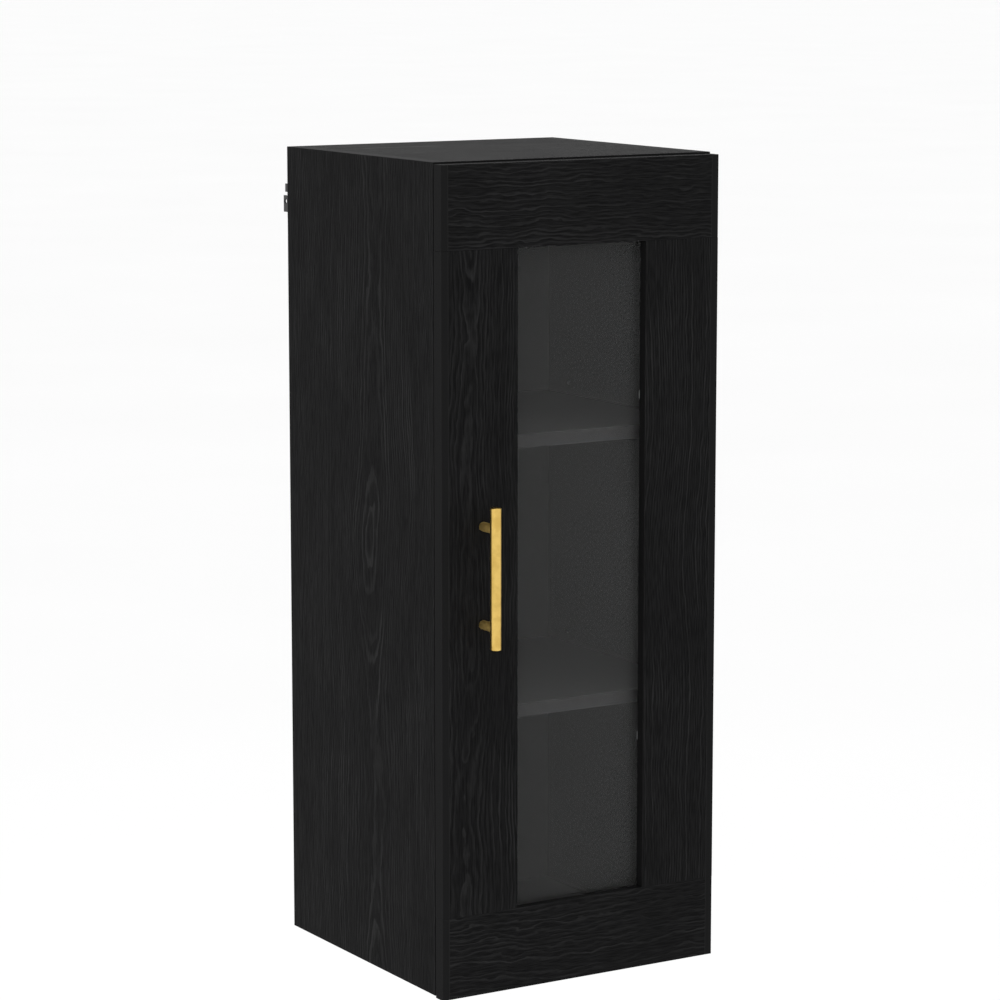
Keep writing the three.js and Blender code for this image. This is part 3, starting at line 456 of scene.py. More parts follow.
def black_wood(node_name, along, across, heart, heart_depth, spacing, wander, ragged, seed,
               outside=0, strip=0):
    """Near-black board with an embossed grain on its faces, or only on the face that looks outside
    along the third axis. Its edges, and a strip beside a door piece's outer edges, are plain."""
    material, tree, shader = new_material("black_wood_" + node_name, IOR=1.09)
    place = object_place(tree)
    values = split(tree, place)
    into = AXES[({"x", "y", "z"} - {along, across}).pop()]
    figure = use_group(
        tree, WOOD_FIGURE, Across=values[AXES[across]], Along=values[AXES[along]], Into=values[into],
        Heart=heart, Heart_Depth=heart_depth, Wander=wander, Ring_Spacing=spacing, Ragged=ragged, Seed=seed)
    normal = face_normal(tree)[into]
    facing = times(tree, normal, outside) if outside else maths(tree, "ABSOLUTE", normal)
    grained = step(tree, facing, 0.5, 0.9)
    if strip:
        outwards = maths(tree, "ABSOLUTE", values["X"])
        seam_at = DOOR_HALF_WIDTH - strip
        grained = times(tree, grained, step(tree, outwards, seam_at - 0.3 * MM, seam_at + 0.3 * MM, 1.0, 0.0))
        near_seam = maths(tree, "ABSOLUTE", maths(tree, "SUBTRACT", outwards, seam_at))
        seam = step(tree, near_seam, 0.2 * MM, 0.7 * MM, 1.0, 0.0)
    tone = maths(tree, "SUBTRACT", figure["Tone"], PLAIN_TONE)
    tone = maths(tree, "MULTIPLY_ADD", tone, grained, PLAIN_TONE)
    wear = edge_wear(tree, place, node_name, 1.1 * MM, seed)
    dust = use_group(tree, DUST, Place=place, Seed=seed)["Mask"]
    lining = step(tree, times(tree, normal, -outside), 0.7, 0.95)
    # The grain's colour spread is partly real grain and partly painted shade and highlight of the embossed
    # relief.
    board = mix_colour(tree, lining, mix_colour(tree, tone, WOOD_DARK_WITH_PAINTED_SHADE, WOOD_BRIGHT_WITH_PAINTED_HIGHLIGHT), INNER_GREY)
    colour = mix_colour(tree, times(tree, wear, 0.3), board, WOOD_WORN)
    colour = mix_colour(tree, times(tree, dust, 0.03), colour, DUST_COLOUR)
    height = times(tree, figure["Height"], grained)
    if strip:
        colour = mix_colour(tree, times(tree, seam, 0.5), colour, SEAM_GREY)
        height = maths(tree, "SUBTRACT", height, seam)
    tree.links.new(colour, shader["Base Color"])
    rough = maths(tree, "MULTIPLY_ADD", tone, -0.1, 0.6)
    rough = maths(tree, "MULTIPLY_ADD", dust, 0.08, rough)
    tree.links.new(maths(tree, "MULTIPLY_ADD", wear, -0.12, rough), shader["Roughness"])
    tree.links.new(bump(tree, height, WOOD_RELIEF, 0.7), shader["Normal"])
    return material


INNER_DARK = (0.056, 0.056, 0.0565)
INNER_BRIGHT = (0.072, 0.072, 0.0725)
INNER_WORN = (0.05, 0.05, 0.05)
SHELF_FRONT = (0.014, 0.014, 0.0143)


def inner_board(node_name, seed):
    """Plain dark grey board with a fine pressed texture, for the back and the shelves."""
    material, tree, shader = new_material("inner_board_" + node_name, IOR=1.3)
    place = object_place(tree)
    mottle = noise(tree, place, seed, detail=5.0, roughness=0.65, scale=160)
    fibre = noise(tree, stretched(tree, place, (60, 900, 900)), seed, detail=2.0)
    tone = maths(tree, "MULTIPLY_ADD", mottle, 0.6, times(tree, fibre, 0.4))
    board = mix_colour(tree, step(tree, tone, 0.3, 0.7), INNER_DARK, INNER_BRIGHT)
    wear = edge_wear(tree, place, node_name, 0.9 * MM, seed)
    dust = use_group(tree, DUST, Place=place, Seed=seed)["Mask"]
    if node_name != "back_panel":
        front_edge = step(tree, face_normal(tree)[1], -0.9, -0.5, 1.0, 0.0)
        board = mix_colour(tree, front_edge, board, SHELF_FRONT)
    colour = mix_colour(tree, times(tree, wear, 0.4), board, INNER_WORN)
    colour = mix_colour(tree, times(tree, dust, 0.05), colour, DUST_COLOUR)
    tree.links.new(colour, shader["Base Color"])
    tree.links.new(maths(tree, "MULTIPLY_ADD", tone, 0.15, 0.33), shader["Roughness"])
    tree.links.new(bump(tree, tone, 0.15 * MM, 0.5), shader["Normal"])
    return material


def door_glass():
    """Clear float glass with faint smears and a thin even film of dust."""
    material, tree, shader = new_material("door_glass", Transmission_Weight=1.0, Metallic=0.0, IOR=1.12,
                                          Roughness=0.0, Sheen_Weight=0.036, Sheen_Roughness=1.0)
    place = object_place(tree)
    smears = step(tree, noise(tree, place, 4.2, detail=5.0, roughness=0.7, scale=6), 0.4, 0.8)
    tree.links.new(mix_colour(tree, smears, (0.985, 0.99, 0.988), (0.975, 0.98, 0.978)), shader["Base Color"])
    return material


def metal(name, dark, bright, rough, grain, stretch, seed):
    """A metal with fine scratches and a cloudy tone."""
    material, tree, shader = new_material(name, Metallic=1.0)
    place = object_place(tree)
    brushed = use_group(tree, BRUSHING, Place=place, Stretch=stretch, Seed=seed)
    tone = maths(tree, "MULTIPLY_ADD", brushed["Scratches"], 0.6, times(tree, brushed["Cloud"], 0.4))
    tree.links.new(mix_colour(tree, step(tree, tone, 0.25, 0.75), dark, bright), shader["Base Color"])
    roughness = maths(tree, "MULTIPLY_ADD", brushed["Scratches"], 0.5 * rough, 0.75 * rough)
    tree.links.new(roughness, shader["Roughness"])
    tree.links.new(bump(tree, brushed["Scratches"], grain, 0.5), shader["Normal"])
    return material


COAT_DARK = (0.007, 0.007, 0.0075)
COAT_BRIGHT = (0.016, 0.016, 0.0165)
BARE_STEEL = (0.16, 0.16, 0.165)


def black_powder_coat(node_name, seed):
    """Black baked powder with a fine orange-peel skin, bright at its rubbed edges."""
    material, tree, shader = new_material("black_powder_coat_" + node_name, Specular_IOR_Level=0.4)
    place = object_place(tree)
    peel = noise(tree, place, seed, detail=2.0, scale=1400)
    wear = edge_wear(tree, place, node_name, 0.6 * MM, seed)
    colour = mix_colour(tree, peel, COAT_DARK, COAT_BRIGHT)
    colour = mix_colour(tree, times(tree, wear, 0.35), colour, BARE_STEEL)
    tree.links.new(colour, shader["Base Color"])
    tree.links.new(maths(tree, "MULTIPLY_ADD", peel, 0.2, 0.35), shader["Roughness"])
    tree.links.new(times(tree, wear, 0.5), shader["Metallic"])
    tree.links.new(bump(tree, peel, 0.05 * MM, 0.6), shader["Normal"])
    return material


def moulded_plastic(name, dark, bright, rough, seed, **shader_values):
    """Moulded plastic or soft pad with a fine eggshell skin and a slightly uneven tone."""
    material, tree, shader = new_material(name, **shader_values)
    place = object_place(tree)
    skin = noise(tree, place, seed, detail=3.0, scale=2200)
    cloud = noise(tree, place, seed, detail=2.0, scale=160)
    tree.links.new(mix_colour(tree, cloud, dark, bright), shader["Base Color"])
    tree.links.new(maths(tree, "MULTIPLY_ADD", skin, 0.2, rough), shader["Roughness"])
    tree.links.new(bump(tree, skin, 0.03 * MM, 0.5), shader["Normal"])
    return material


ROUND_THE_AXIS = (500.0, 500.0, 9000.0)
ALONG_THE_SHEET = (3000.0, 300.0, 3000.0)
EVERY_WAY = (900.0, 900.0, 900.0)
FINE_SCRATCH = 0.02 * MM
CAST_SKIN = 0.05 * MM

gold = metal("gold_satin", (0.64, 0.42, 0.105), (0.79, 0.545, 0.155), 0.3, FINE_SCRATCH, ROUND_THE_AXIS, 2.0)
gold_post = metal("gold_satin_post", (0.74, 0.52, 0.16), (0.88, 0.64, 0.23), 0.5, FINE_SCRATCH,
                  ROUND_THE_AXIS, 5.0)
nickel = metal("nickel_plate", (0.50, 0.50, 0.49), (0.66, 0.655, 0.64), 0.28, FINE_SCRATCH,
               ALONG_THE_SHEET, 3.0)
zinc = metal("zinc_casting", (0.36, 0.37, 0.38), (0.52, 0.53, 0.54), 0.42, CAST_SKIN, EVERY_WAY, 6.0)
clip_plastic = moulded_plastic("clip_plastic", (0.55, 0.56, 0.56), (0.68, 0.69, 0.69), 0.25, 1.0,
                               Transmission_Weight=0.35, Subsurface_Weight=0.1)
soft_pad = moulded_plastic("soft_pad", (0.36, 0.37, 0.36), (0.46, 0.47, 0.46), 0.5, 2.0,
                           Subsurface_Weight=0.15)


# ---- Boards ----

BOARD_EDGE = 0.45 * MM
DOOR_EDGE_STRIP = 8.5 * MM


def carcass_boards():
    grains = {
        # board: (along, across, heart, heart depth, ring spacing, wander, ragged, seed, outside)
        "side_panel_left": ("z", "y", -0.015, 0.200, 3.6 * MM, 19 * MM, 0.4, 3.1, -1),
        "side_panel_right": ("z", "y", 0.03, -0.200, 3.6 * MM, 19 * MM, 0.4, 8.7, 1),
        "top_panel": ("x", "y", 0.10, -0.95, 3.0 * MM, 9 * MM, 0.3, 1.4, 1),
        "bottom_panel": ("x", "y", -0.06, 0.05, 3.0 * MM, 9 * MM, 0.3, 6.6, -1),
    }
    for name, grain in grains.items():
        finish_node(name, black_wood(name, *grain), BOARD_EDGE)
    for i, name in enumerate(("back_panel", "shelf_lower", "shelf_upper")):
        finish_node(name, inner_board(name, 1.0 + 2.3 * i), BOARD_EDGE)


def door_boards():
    grains = {
        # board: (along, across, heart, heart depth, ring spacing, wander, ragged, seed)
        "door_top_rail": ("x", "z", 1.20, 0.22, 4.8 * MM, 14 * MM, 0.85, 5.2),
        "door_bottom_rail": ("x", "z", -0.35, 0.22, 4.8 * MM, 14 * MM, 0.85, 2.8),
        "door_stile_left": ("z", "x", -0.145, 0.175, 3.6 * MM, 15 * MM, 0.5, 4.4),
        "door_stile_right": ("z", "x", 0.30, 0.19, 3.4 * MM, 12 * MM, 0.5, 7.9),
    }
    for name, grain in grains.items():
        finish_node(name, black_wood(name, *grain, strip=DOOR_EDGE_STRIP), BOARD_EDGE)
    finish_node("glass_pane", door_glass(), 0)


# ---- Handle ----

BAR_CHAMFER = 0.8 * MM
BAR_FACETS = 72
CHAMFER_RIM = 0.06 * MM  # softens the chamfer's two corners
POST_RADIUS = 5 * MM
POST_FACETS = 64
FACING_BACK = (0, 1, 0)


def handle():
    low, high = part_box("handle_bar")
    radius = (high.x - low.x) / 2
    axis = (low + high) / 2
    half = (high.z - low.z) / 2
    profile = [
        (radius - BAR_CHAMFER - 0.15 * MM, -half),
        (radius - BAR_CHAMFER, -half + CHAMFER_RIM),
        (radius - CHAMFER_RIM, -half + BAR_CHAMFER - CHAMFER_RIM),
        (radius, -half + BAR_CHAMFER + 0.1 * MM),
    ]
    profile += [(r, -z) for r, z in reversed(profile)]
    show("handle_bar_turned", turned("handle_bar", profile, BAR_FACETS), gold, "door", axis,
         stands_for=["handle_bar"])
    door_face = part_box("door_stile_left")[0].y
    for end in ENDS:
        post = middle("handle_post_" + end)
        show("handle_post_turned_" + end, handle_post(radius, door_face - axis.y), gold_post,
             "door", (axis.x, axis.y, post.z), FACING_BACK, ["handle_post_" + end])
        handle_screw(end, axis.x, post.z)


def handle_post(bar_radius, reach):
    """A stubby round post that stands on the door, with its front end hollowed to the bar.
    Its own Z axis runs from the bar's axis to the door; the bar crosses it along its own Y axis."""
    def saddle(ring_radius):
        points = circle(0, 0, ring_radius, POST_FACETS)
        return [(x, y, math.sqrt(bar_radius ** 2 - x ** 2)) for x, y in points]

    def flat(ring_radius, height):
        return [(x, y, height) for x, y in circle(0, 0, ring_radius, POST_FACETS)]

    front = [saddle(ring_radius) for ring_radius in (0.5 * MM, 2.5 * MM, 4 * MM, POST_RADIUS)]
    foot = [
        flat(POST_RADIUS, 0.5 * reach),
        flat(POST_RADIUS, reach - 0.7 * MM),
        flat(POST_RADIUS - 0.1 * MM, reach - 0.4 * MM),
        flat(POST_RADIUS - 0.4 * MM, reach - BUTT_GAP),
        flat(2.2 * MM, reach - BUTT_GAP),
    ]
    return loft("handle_post", front + foot)


def handle_screw(end, x, z):
    name = "handle_screw_" + end
    low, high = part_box(name)
    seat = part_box("door_stile_left")[1].y + BUTT_GAP
    mesh = screw_mesh("handle_screw", 2 * MM, seat - low.y, (high.x - low.x) / 2, high.y - seat, 0.7 * MM)
    show("handle_screw_cut_" + end, mesh, zinc, "door", (x, seat, z), FACING_BACK, [name])


# ---- Small fittings ----

PIN_HEAD = 7.9 * MM
PIN_SHANK = 2.45 * MM
PIN_TIP = 2 * MM
PIN_ROUND = 0.6 * MM


def shelf_pins():
    for shelf in ("shelf_lower", "shelf_upper"):
        for side in SIDES:
            for place in ("front", "back"):
                name = f"{shelf}_pin_{side}_{place}"
                low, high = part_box(name)
                outwards = 1 if side == "right" else -1
                at = (low + high) / 2
                at.x = low.x if side == "right" else high.x
                length = high.x - low.x
                radius = (high.z - low.z) / 2
                profile = rounded_profile(radius, 0, PIN_HEAD, PIN_ROUND)
                profile += [(PIN_SHANK, PIN_HEAD + 0.05 * MM), (PIN_SHANK, length - PIN_ROUND)]
                profile += [(PIN_TIP, length)]
                show("turned_" + name, turned(name, profile, 40), nickel, "carcass", at,
                     (outwards, 0, 0), [name])


def cams():
    for panel in ("top", "bottom"):
        for side in SIDES:
            for place in ("front", "back"):
                where = f"{panel}_{side}_{place}"
                cam_lock(f"cam_lock_{where}")
                cam_bolt(f"cam_bolt_{where}", 1 if side == "left" else -1)


def cam_lock(name):
    """A round cast cam with a cross recess and a small triangular pointer sunk in its face."""
    low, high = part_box(name)
    radius = (high.x - low.x) / 2
    depth = high.z - low.z
    drum = turned(name, rounded_profile(radius, 0, depth, 0.5 * MM), 56)
    drum = combined(drum, cross_cutter(5 * MM, 0.8 * MM, depth, 1.8 * MM), "DIFFERENCE")
    pointer = [(5.6 * MM, -1 * MM), (6.7 * MM, 0), (5.6 * MM, 1 * MM)]
    pointer = prism("pointer", pointer, [], depth - 0.4 * MM, depth + 1 * MM)
    drum = combined(drum, pointer, "DIFFERENCE")
    at = ((low.x + high.x) / 2, (low.y + high.y) / 2, high.z)
    show("cast_" + name, drum, zinc, "carcass", at, (0, 0, -1), [name])


BOLT_THREAD = 10 * MM
BOLT_PITCH = 1.6 * MM
BOLT_ROOT = 1.9 * MM
BOLT_CREST = 2.5 * MM
BOLT_BODY = 3 * MM
BOLT_NECK = 1.6 * MM
BOLT_HEAD = 3.2 * MM


def cam_bolt(name, inwards):
    """A bolt with a coarse thread in the side panel and a round head in its cam."""
    low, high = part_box(name)
    length = high.x - low.x
    profile = [(1 * MM, 0)]
    for i in range(int(BOLT_THREAD / BOLT_PITCH)):
        profile += [(BOLT_ROOT, (i + 0.3) * BOLT_PITCH), (BOLT_CREST, (i + 0.8) * BOLT_PITCH)]
    profile += [
        (BOLT_ROOT, BOLT_THREAD),
        (BOLT_BODY - 0.1 * MM, BOLT_THREAD + 0.2 * MM),
        (BOLT_BODY, BOLT_THREAD + 0.5 * MM),
        (BOLT_BODY, length - 6.3 * MM),
        (BOLT_NECK, length - 6 * MM),
        (BOLT_NECK, length - 3 * MM),
        (BOLT_HEAD, length - 2.4 * MM),
        (BOLT_HEAD, length - 1.2 * MM),
        (BOLT_HEAD - 1 * MM, length - 0.1 * MM),
        (1 * MM, length),
    ]
    start = (low + high) / 2
    start.x = low.x if inwards > 0 else high.x
    bolt = turned(name, profile, 32)
    show("turned_" + name, bolt, nickel, "carcass", start, (inwards, 0, 0), [name])


CLIP_START = 3 * MM  # from the opening's edge, over the glass
CLIP_END = 17 * MM
CLIP_FOOT_END = 6.5 * MM
CLIP_HALF_WIDTH = 5.5 * MM
CLIP_THICK = 2 * MM
CLIP_FOOT_DEPTH = 0.8 * MM
CLIP_SCREW_FROM_EDGE = 12.5 * MM
CLIP_SCREW_HOLE = 2 * MM
CLIP_BOSS_RADIUS = 3.7 * MM
CLIP_BOSS_TOP = 2.6 * MM


def glass_clip(towards):
    """A moulded clip with a foot on the glass and a boss for its screw; the opening's edge is at x = 0."""
    low, high = sorted((towards * CLIP_START, towards * CLIP_END))
    foot_low, foot_high = sorted((towards * CLIP_START, towards * CLIP_FOOT_END))
    half = CLIP_HALF_WIDTH
    screw_at = towards * CLIP_SCREW_FROM_EDGE
    hole = circle(screw_at, 0, CLIP_SCREW_HOLE, 32)
    plate = rounded_rectangle(low, high, -half, half, 2 * MM)
    clip = prism("moulded_glass_clip", plate, [hole], BUTT_GAP, BUTT_GAP + CLIP_THICK)
    step_outline = rounded_rectangle(foot_low, foot_high, -half, half, 0.8 * MM)
    foot = prism("foot", step_outline, [], -CLIP_FOOT_DEPTH, CLIP_THICK / 2)
    boss = prism("boss", circle(screw_at, 0, CLIP_BOSS_RADIUS, 40), [hole], CLIP_THICK / 2, CLIP_BOSS_TOP)
    return turned_to_door(combined(combined(clip, foot, "UNION"), boss, "UNION"))


def glass_clips():
    door_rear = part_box("door_stile_right")[1].y
    for side, towards in (("left", -1), ("right", 1)):
        for end in ENDS:
            name = f"glass_clip_{side}_{end}"
            low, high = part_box(name)
            opening_edge = (low.x if towards > 0 else high.x) - towards * CLIP_START
            place = Vector((opening_edge, door_rear, middle(name).z))
            clip = show("moulded_" + name, glass_clip(towards), clip_plastic, "door", place,
                        stands_for=[name])
            ease(clip, 0.35 * MM)
            seat = place + Vector((towards * CLIP_SCREW_FROM_EDGE, CLIP_BOSS_TOP, 0))
            small_screw(f"glass_clip_screw_{side}_{end}", 3 * MM, 0.8 * MM, "door", seat, FACING_BACK)


def bumpers():
    for end in ENDS:
        name = "door_bumper_" + end
        low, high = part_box(name)
        centre = (low + high) / 2
        radius = (high.x - low.x) / 2
        height = high.y - low.y
        dome = dome_profile(radius, 0.25 * height, 0.75 * height, 8)
        profile = [(0.94 * radius, 0), (radius, 0.1 * height), *dome, (0.05 * radius, height)]
        show("domed_" + name, turned(name, profile, 40), soft_pad, "door",
             (centre.x, low.y, centre.z), FACING_BACK, [name])


BRACKET_SCREW_HEAD = 1.9 * MM


def hanging_brackets():
    for i, side in enumerate(SIDES):
        name = "hanging_bracket_" + side
        finish_node(name, black_powder_coat(name, 1.0 + 3.0 * i), 0.3 * MM, flat_sided=False)
        screw = "bracket_screw_" + side
        low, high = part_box(screw)
        seat = high.y - BRACKET_SCREW_HEAD
        mesh = screw_mesh(screw, 1.9 * MM, seat - low.y, (high.x - low.x) / 2, high.y - seat, 1.4 * MM)
        at = ((low.x + high.x) / 2, seat, (low.z + high.z) / 2)
        show("cut_" + screw, mesh, zinc, "carcass", at, FACING_BACK, [screw])


# ---- Hinges ----
# A hinge is drawn from the right side panel's inner front edge: (x, y, z) = 0 there, at its middle height.

CUP_AXIS = -7.5 * MM
CUP_RADIUS = 17.5 * MM
CUP_DEPTH = 12 * MM
CUP_WALL = 1.2 * MM
CUP_CORNER = 1.2 * MM
CUP_RIM_OUT = 1 * MM
CUP_RIM_THICK = 0.8 * MM
CUP_FACETS = 80
WING_FROM_CUP_AXIS = 9 * MM
WING_HALF_WIDTH = 7.5 * MM
WING_HALF_HEIGHT = 27 * MM
WING_TOP = 1 * MM
CUP_SCREW_RISE = 22.5 * MM
PIVOT = Vector((-21, 2.5, 0)) * MM
LINK_TIP = Vector((6.5, -9, 0)) * MM
CHEEK_INSIDE = 7 * MM
SHEET = 1.5 * MM
CHEEK_OUTSIDE = CHEEK_INSIDE + SHEET
WEB_TOP = -17 * MM
WEB_START = 20.5 * MM
ARM_END = 56 * MM
PLATE_TOP = -2 * MM
PLATE_MIDDLE = 37 * MM
PLATE_SCREW_RISE = 16 * MM
PIN_BORE = 1.65 * MM
PIN_PAST_CHEEK = 0.5 * MM
SCREW_HEAD = 3.6 * MM
LINK_HALF_THICK = 0.7 * MM
LINK_HALF_WIDE = 3.5 * MM
LINK_CORNER = 0.25 * MM
LINK_STEPS = 26
LINK_END_SHARE = 0.94  # of the way from the tip to the pin, where the strap meets its eye


def turned_to_panel(mesh):
    """Stands a piece drawn in (y, z) up on the side panel, with its thickness along X."""
    mesh.transform(Vector((1, 0, 0)).to_track_quat("Z", "Y").to_matrix().to_4x4())
    return mesh


def turned_to_door(mesh):
    """Stands a piece drawn in (x, z) up on the door's rear face, with its thickness along +Y."""
    for vertex in mesh.vertices:
        x, z, y = vertex.co
        vertex.co = (x, y, z)
    mesh.flip_normals()
    return mesh


def cup_bowl():
    """The round cup, drawn on its own axis from the door's rear face, with a rim that lies on the door."""
    bore = CUP_RADIUS - CUP_WALL
    rounding = arc(0, 0, CUP_CORNER, -QUARTER, QUARTER, 5)
    outside = [(CUP_RADIUS - CUP_CORNER + x, CUP_CORNER - CUP_DEPTH + y) for x, y in rounding]
    rim = [
        (CUP_RADIUS, BUTT_GAP),
        (CUP_RADIUS + CUP_RIM_OUT, BUTT_GAP),
        (CUP_RADIUS + CUP_RIM_OUT, CUP_RIM_THICK - 0.3 * MM),
        (CUP_RADIUS + CUP_RIM_OUT - 0.3 * MM, CUP_RIM_THICK),
        (bore + 0.4 * MM, CUP_RIM_THICK),
        (bore, CUP_RIM_THICK - 0.4 * MM),
    ]
    inside = arc(bore - CUP_CORNER, CUP_WALL + CUP_CORNER - CUP_DEPTH, CUP_CORNER, 0, -QUARTER, 5)
    bottom = [(1 * MM, CUP_WALL - CUP_DEPTH)]
    return turned("hinge_cup_bowl", outside + rim + inside + bottom, CUP_FACETS)


def cup_wings():
    """The ears that screw to the door, cut round the cup."""
    centre = CUP_AXIS - WING_FROM_CUP_AXIS
    outline = rounded_rectangle(centre - WING_HALF_WIDTH, centre + WING_HALF_WIDTH,
                                -WING_HALF_HEIGHT, WING_HALF_HEIGHT, 5 * MM)
    ears = prism("hinge_cup_wings", outline, [], BUTT_GAP, WING_TOP)
    hole = prism("cup_hole", circle(CUP_AXIS, 0, CUP_RADIUS - 0.6 * MM, CUP_FACETS), [], -1 * MM, 3 * MM)
    return combined(ears, hole, "DIFFERENCE")


def hinge_arm():
    """A folded channel: two cheeks with a rounded nose at the pin, and a web with a slot."""
    cheek = arc(PIVOT.x, PIVOT.y, 2.8 * MM, TURN / 2, TURN / 2, 14)
    foot = -4.5 * MM
    cheek += [(-12 * MM, 13.5 * MM), (foot, 22.5 * MM), (foot, ARM_END)]
    cheek += [(WEB_TOP, ARM_END), (WEB_TOP, WEB_START), (-23.8 * MM, 8.5 * MM)]
    arm = prism("hinge_arm", cheek, [], CHEEK_INSIDE, CHEEK_OUTSIDE)
    arm = combined(arm, prism("cheek", cheek, [], -CHEEK_OUTSIDE, -CHEEK_INSIDE), "UNION")
    slot = rounded_rectangle(26 * MM, 35 * MM, -1.7 * MM, 1.7 * MM, 1.6 * MM)
    corners = [(WEB_START, -CHEEK_OUTSIDE), (ARM_END, -CHEEK_OUTSIDE)]
    corners += [(ARM_END, CHEEK_OUTSIDE), (WEB_START, CHEEK_OUTSIDE)]
    web = prism("web", corners, [slot], WEB_TOP, WEB_TOP + SHEET)
    return combined(arm, turned_to_panel(web), "UNION")


def hinge_plate():
    """The plate that screws to the side panel, with the raised middle that the arm slides over."""
    wings = rounded_rectangle(PLATE_MIDDLE - 7 * MM, PLATE_MIDDLE + 7 * MM, -25 * MM, 25 * MM, 4.5 * MM)
    base = prism("hinge_plate", wings, [], PLATE_TOP, -BUTT_GAP)
    ridge = rounded_rectangle(PLATE_MIDDLE - 15 * MM, PLATE_MIDDLE + 15 * MM, -6.7 * MM, 6.7 * MM, 1.5 * MM)
    raised = prism("raised", ridge, [], -14.9 * MM, -1 * MM)
    return turned_to_panel(combined(base, raised, "UNION"))


def curve_point(handles, t):
    """A point on a curve with four handles, and the curve's direction there."""
    left = 1 - t
    weights = (left ** 3, 3 * t * left ** 2, 3 * t * t * left, t ** 3)
    slopes = (-3 * left ** 2, 3 * left ** 2 - 6 * t * left, 6 * t * left - 3 * t * t, 3 * t * t)
    at = sum((weight * handle for weight, handle in zip(weights, handles)), Vector())
    along = sum((slope * handle for slope, handle in zip(slopes, handles)), Vector())
    return at, along.normalized()


def hinge_link():
    """A goose-necked strap with an eye on the arm's pin and a rounded tip inside the cup."""
    handles = [LINK_TIP, LINK_TIP + Vector((-2, -6, 0)) * MM, PIVOT + Vector((0, -4, 0)) * MM, PIVOT]
    thick, wide = LINK_HALF_THICK, LINK_HALF_WIDE
    section = rounded_rectangle(-thick, thick, -wide, wide, LINK_CORNER, 2)
    rings = []
    for i in range(LINK_STEPS + 1):
        at, along = curve_point(handles, LINK_END_SHARE * i / LINK_STEPS)
        across = Vector((-along.y, along.x, 0))
        rings.append([at + across * u + Vector((0, 0, v)) for u, v in section])
    bore = circle(PIVOT.x, PIVOT.y, PIN_BORE, 40)
    eye = prism("eye", circle(PIVOT.x, PIVOT.y, 2.6 * MM, 40), [bore], -wide, wide)
    tip = prism("tip", circle(LINK_TIP.x, LINK_TIP.y, 1 * MM, 28), [], -wide, wide)
    return combined(combined(loft("hinge_link", rings), tip, "UNION"), eye, "UNION")


def hinge_pin():
    """A pin between the cheeks, with a flattened head at each end."""
    half = CHEEK_OUTSIDE + PIN_PAST_CHEEK
    end = [
        (1.6 * MM, -half),
        (2.2 * MM, -half + 0.3 * MM),
        (2.2 * MM, -half + PIN_PAST_CHEEK),
        (1.5 * MM, -half + PIN_PAST_CHEEK),
    ]
    return turned("hinge_pin", end + [(radius, -at) for radius, at in reversed(end)], 32)


def small_screw(name, radius, height, body, at, towards):
    """A zinc-plated screw with its head's seat at a point and its head towards a direction."""
    mesh = screw_mesh(name, 0.6 * radius, 4 * radius, radius, height, 1.1 * MM)
    show(name, mesh, zinc, body, at, towards)


def hinge_piece(name, mesh, body, at, edge, stands_for=()):
    """A pressed nickel-plated piece with eased edges."""
    ease(show(name, mesh, nickel, body, at, stands_for=stands_for), edge)


def hinge_screws(end, origin, on_door):
    away_from_panel = (-1, 0, 0)
    for side, way in (("low", -1), ("high", 1)):
        at = on_door + Vector((CUP_AXIS - WING_FROM_CUP_AXIS, WING_TOP - BUTT_GAP, way * CUP_SCREW_RISE))
        small_screw(f"hinge_cup_screw_{end}_{side}", SCREW_HEAD, 1.4 * MM, "door", at, FACING_BACK)
    for side, way in (("low", -1), ("high", 1)):
        at = origin + Vector((PLATE_TOP, PLATE_MIDDLE, way * PLATE_SCREW_RISE))
        small_screw(f"hinge_plate_screw_{end}_{side}", SCREW_HEAD, 1.5 * MM, "carcass", at, away_from_panel)
    for use, depth, radius in (("fixing", 45 * MM, SCREW_HEAD), ("side_adjusting", 30.5 * MM, 2.6 * MM)):
        at = origin + Vector((WEB_TOP, depth, 0))
        small_screw(f"hinge_{use}_screw_{end}", radius, 1.4 * MM, "carcass", at, away_from_panel)


def hinges():
    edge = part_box("side_panel_right")[0]
    door_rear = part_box("door_stile_right")[1].y
    for end in ENDS:
        height = middle("hinge_plate_" + end).z
        origin = Vector((edge.x, edge.y, height))
        on_door = Vector((edge.x, door_rear, height))
        cup_centre = on_door + Vector((CUP_AXIS, 0, 0))
        show("hinge_cup_bowl_" + end, cup_bowl(), nickel, "door", cup_centre, FACING_BACK,
             ["hinge_cup_" + end])
        hinge_piece("hinge_cup_wings_" + end, turned_to_door(cup_wings()), "door", on_door, 0.25 * MM)
        hinge_piece("hinge_arm_folded_" + end, hinge_arm(), "carcass", origin, 0.3 * MM, ["hinge_arm_" + end])
        hinge_piece("hinge_plate_pressed_" + end, hinge_plate(), "carcass", origin, 0.4 * MM,
                    ["hinge_plate_" + end])
        hinge_piece("hinge_link_bent_" + end, hinge_link(), "link_" + end, origin, 0.15 * MM,
                    ["hinge_link_" + end])
        show("hinge_pin_" + end, hinge_pin(), zinc, "carcass", origin + PIVOT)
        hinge_screws(end, origin, on_door)


# ---- Stage ----

FLOOR_RADIUS = 160
FLOOR_HEIGHT = -1.2
MIDDLE_OF_CABINET = (0, 0, 0.45)
SOFT_BOX_SIZE = 3.0


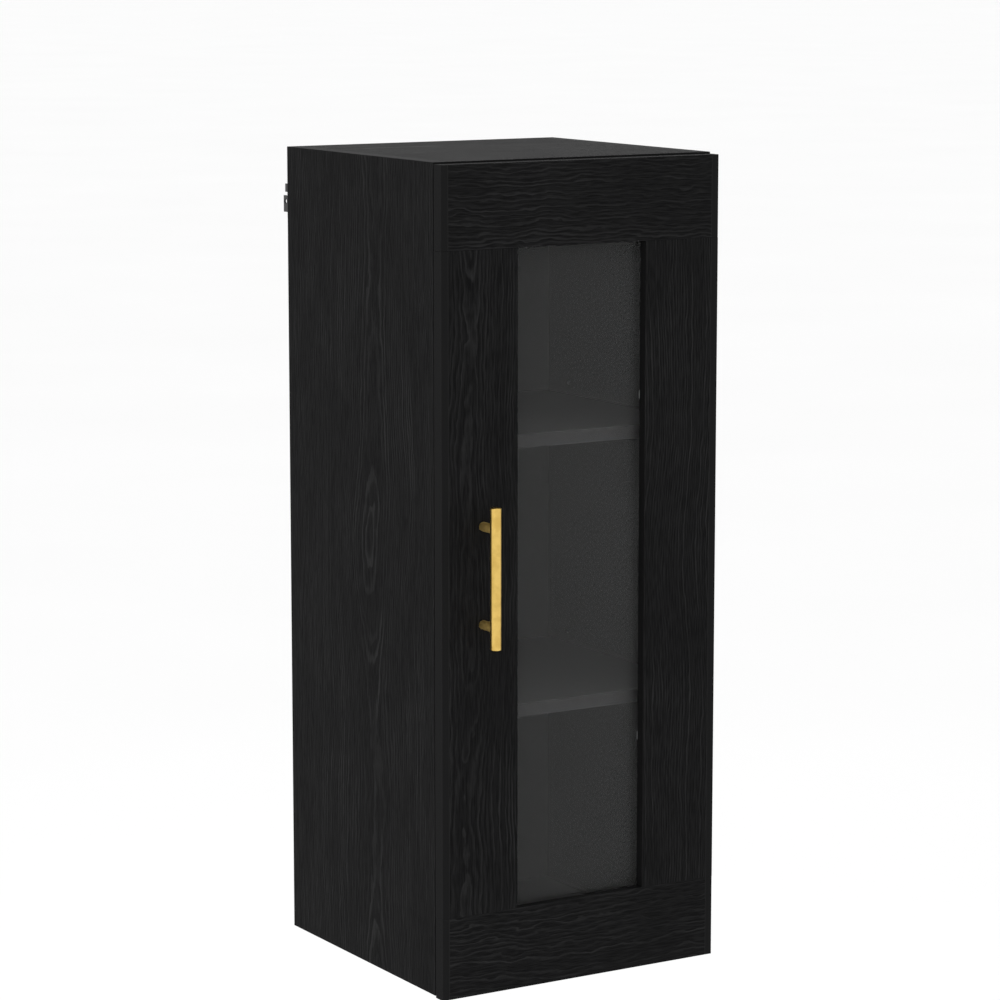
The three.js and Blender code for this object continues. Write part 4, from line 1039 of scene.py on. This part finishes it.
def floor():
    """A wide pale floor well below the hung cabinet."""
    material, tree, shader = new_material("pale_floor", Specular_IOR_Level=0.1, Roughness=0.9)
    cloud = noise(tree, object_place(tree), 1.0, detail=3.0, scale=0.7)
    tree.links.new(mix_colour(tree, cloud, (0.93, 0.93, 0.93), (0.96, 0.96, 0.96)), shader["Base Color"])
    mesh = prism("floor", circle(0, 0, FLOOR_RADIUS, 96), [], -0.1, 0)
    ground = bpy.data.objects.new("floor", mesh)
    mesh.materials.append(material)
    bpy.context.scene.collection.objects.link(ground)
    ground.location.z = FLOOR_HEIGHT


def soft_box(name, at, watts):
    """A large soft light that isn't seen itself."""
    light = bpy.data.lights.new(name, "AREA")
    light.shape = "SQUARE"
    light.size = SOFT_BOX_SIZE
    light.energy = watts
    lamp = bpy.data.objects.new(name, light)
    lamp.location = at
    lamp.rotation_euler = (Vector(MIDDLE_OF_CABINET) - Vector(at)).to_track_quat("-Z", "Y").to_euler()
    lamp.visible_camera = False
    bpy.context.scene.collection.objects.link(lamp)


def studio():
    scene = bpy.context.scene
    world = bpy.data.worlds.new("white_studio")
    world.use_nodes = True
    background = world.node_tree.nodes["Background"].inputs
    background["Color"].default_value = (1, 1, 1, 1)
    background["Strength"].default_value = 1.03
    scene.world = world
    scene.view_settings.view_transform = "Standard"
    soft_box("key_light", (-4.2, -2.6, 3.4), 14)
    soft_box("top_light", (0.5, 1.0, 4.0), 25)


def camera():
    """A long lens from the front left, a little above, that frames the whole cabinet."""
    lens = bpy.data.cameras.new("camera")
    lens.lens = 127.7
    lens.sensor_width = 36
    lens.clip_end = 500
    eye = bpy.data.objects.new("camera", lens)
    eye.location = (-2.035, -3.340, 1.136)
    aim = Vector((-0.1896, -0.3016, 0.5672))
    eye.rotation_euler = (aim - eye.location).to_track_quat("-Z", "Y").to_euler()
    bpy.context.scene.collection.objects.link(eye)
    bpy.context.scene.camera = eye


camera()
studio()
floor()
carcass_boards()
door_boards()
handle()
shelf_pins()
cams()
glass_clips()
bumpers()
hanging_brackets()
hinges()
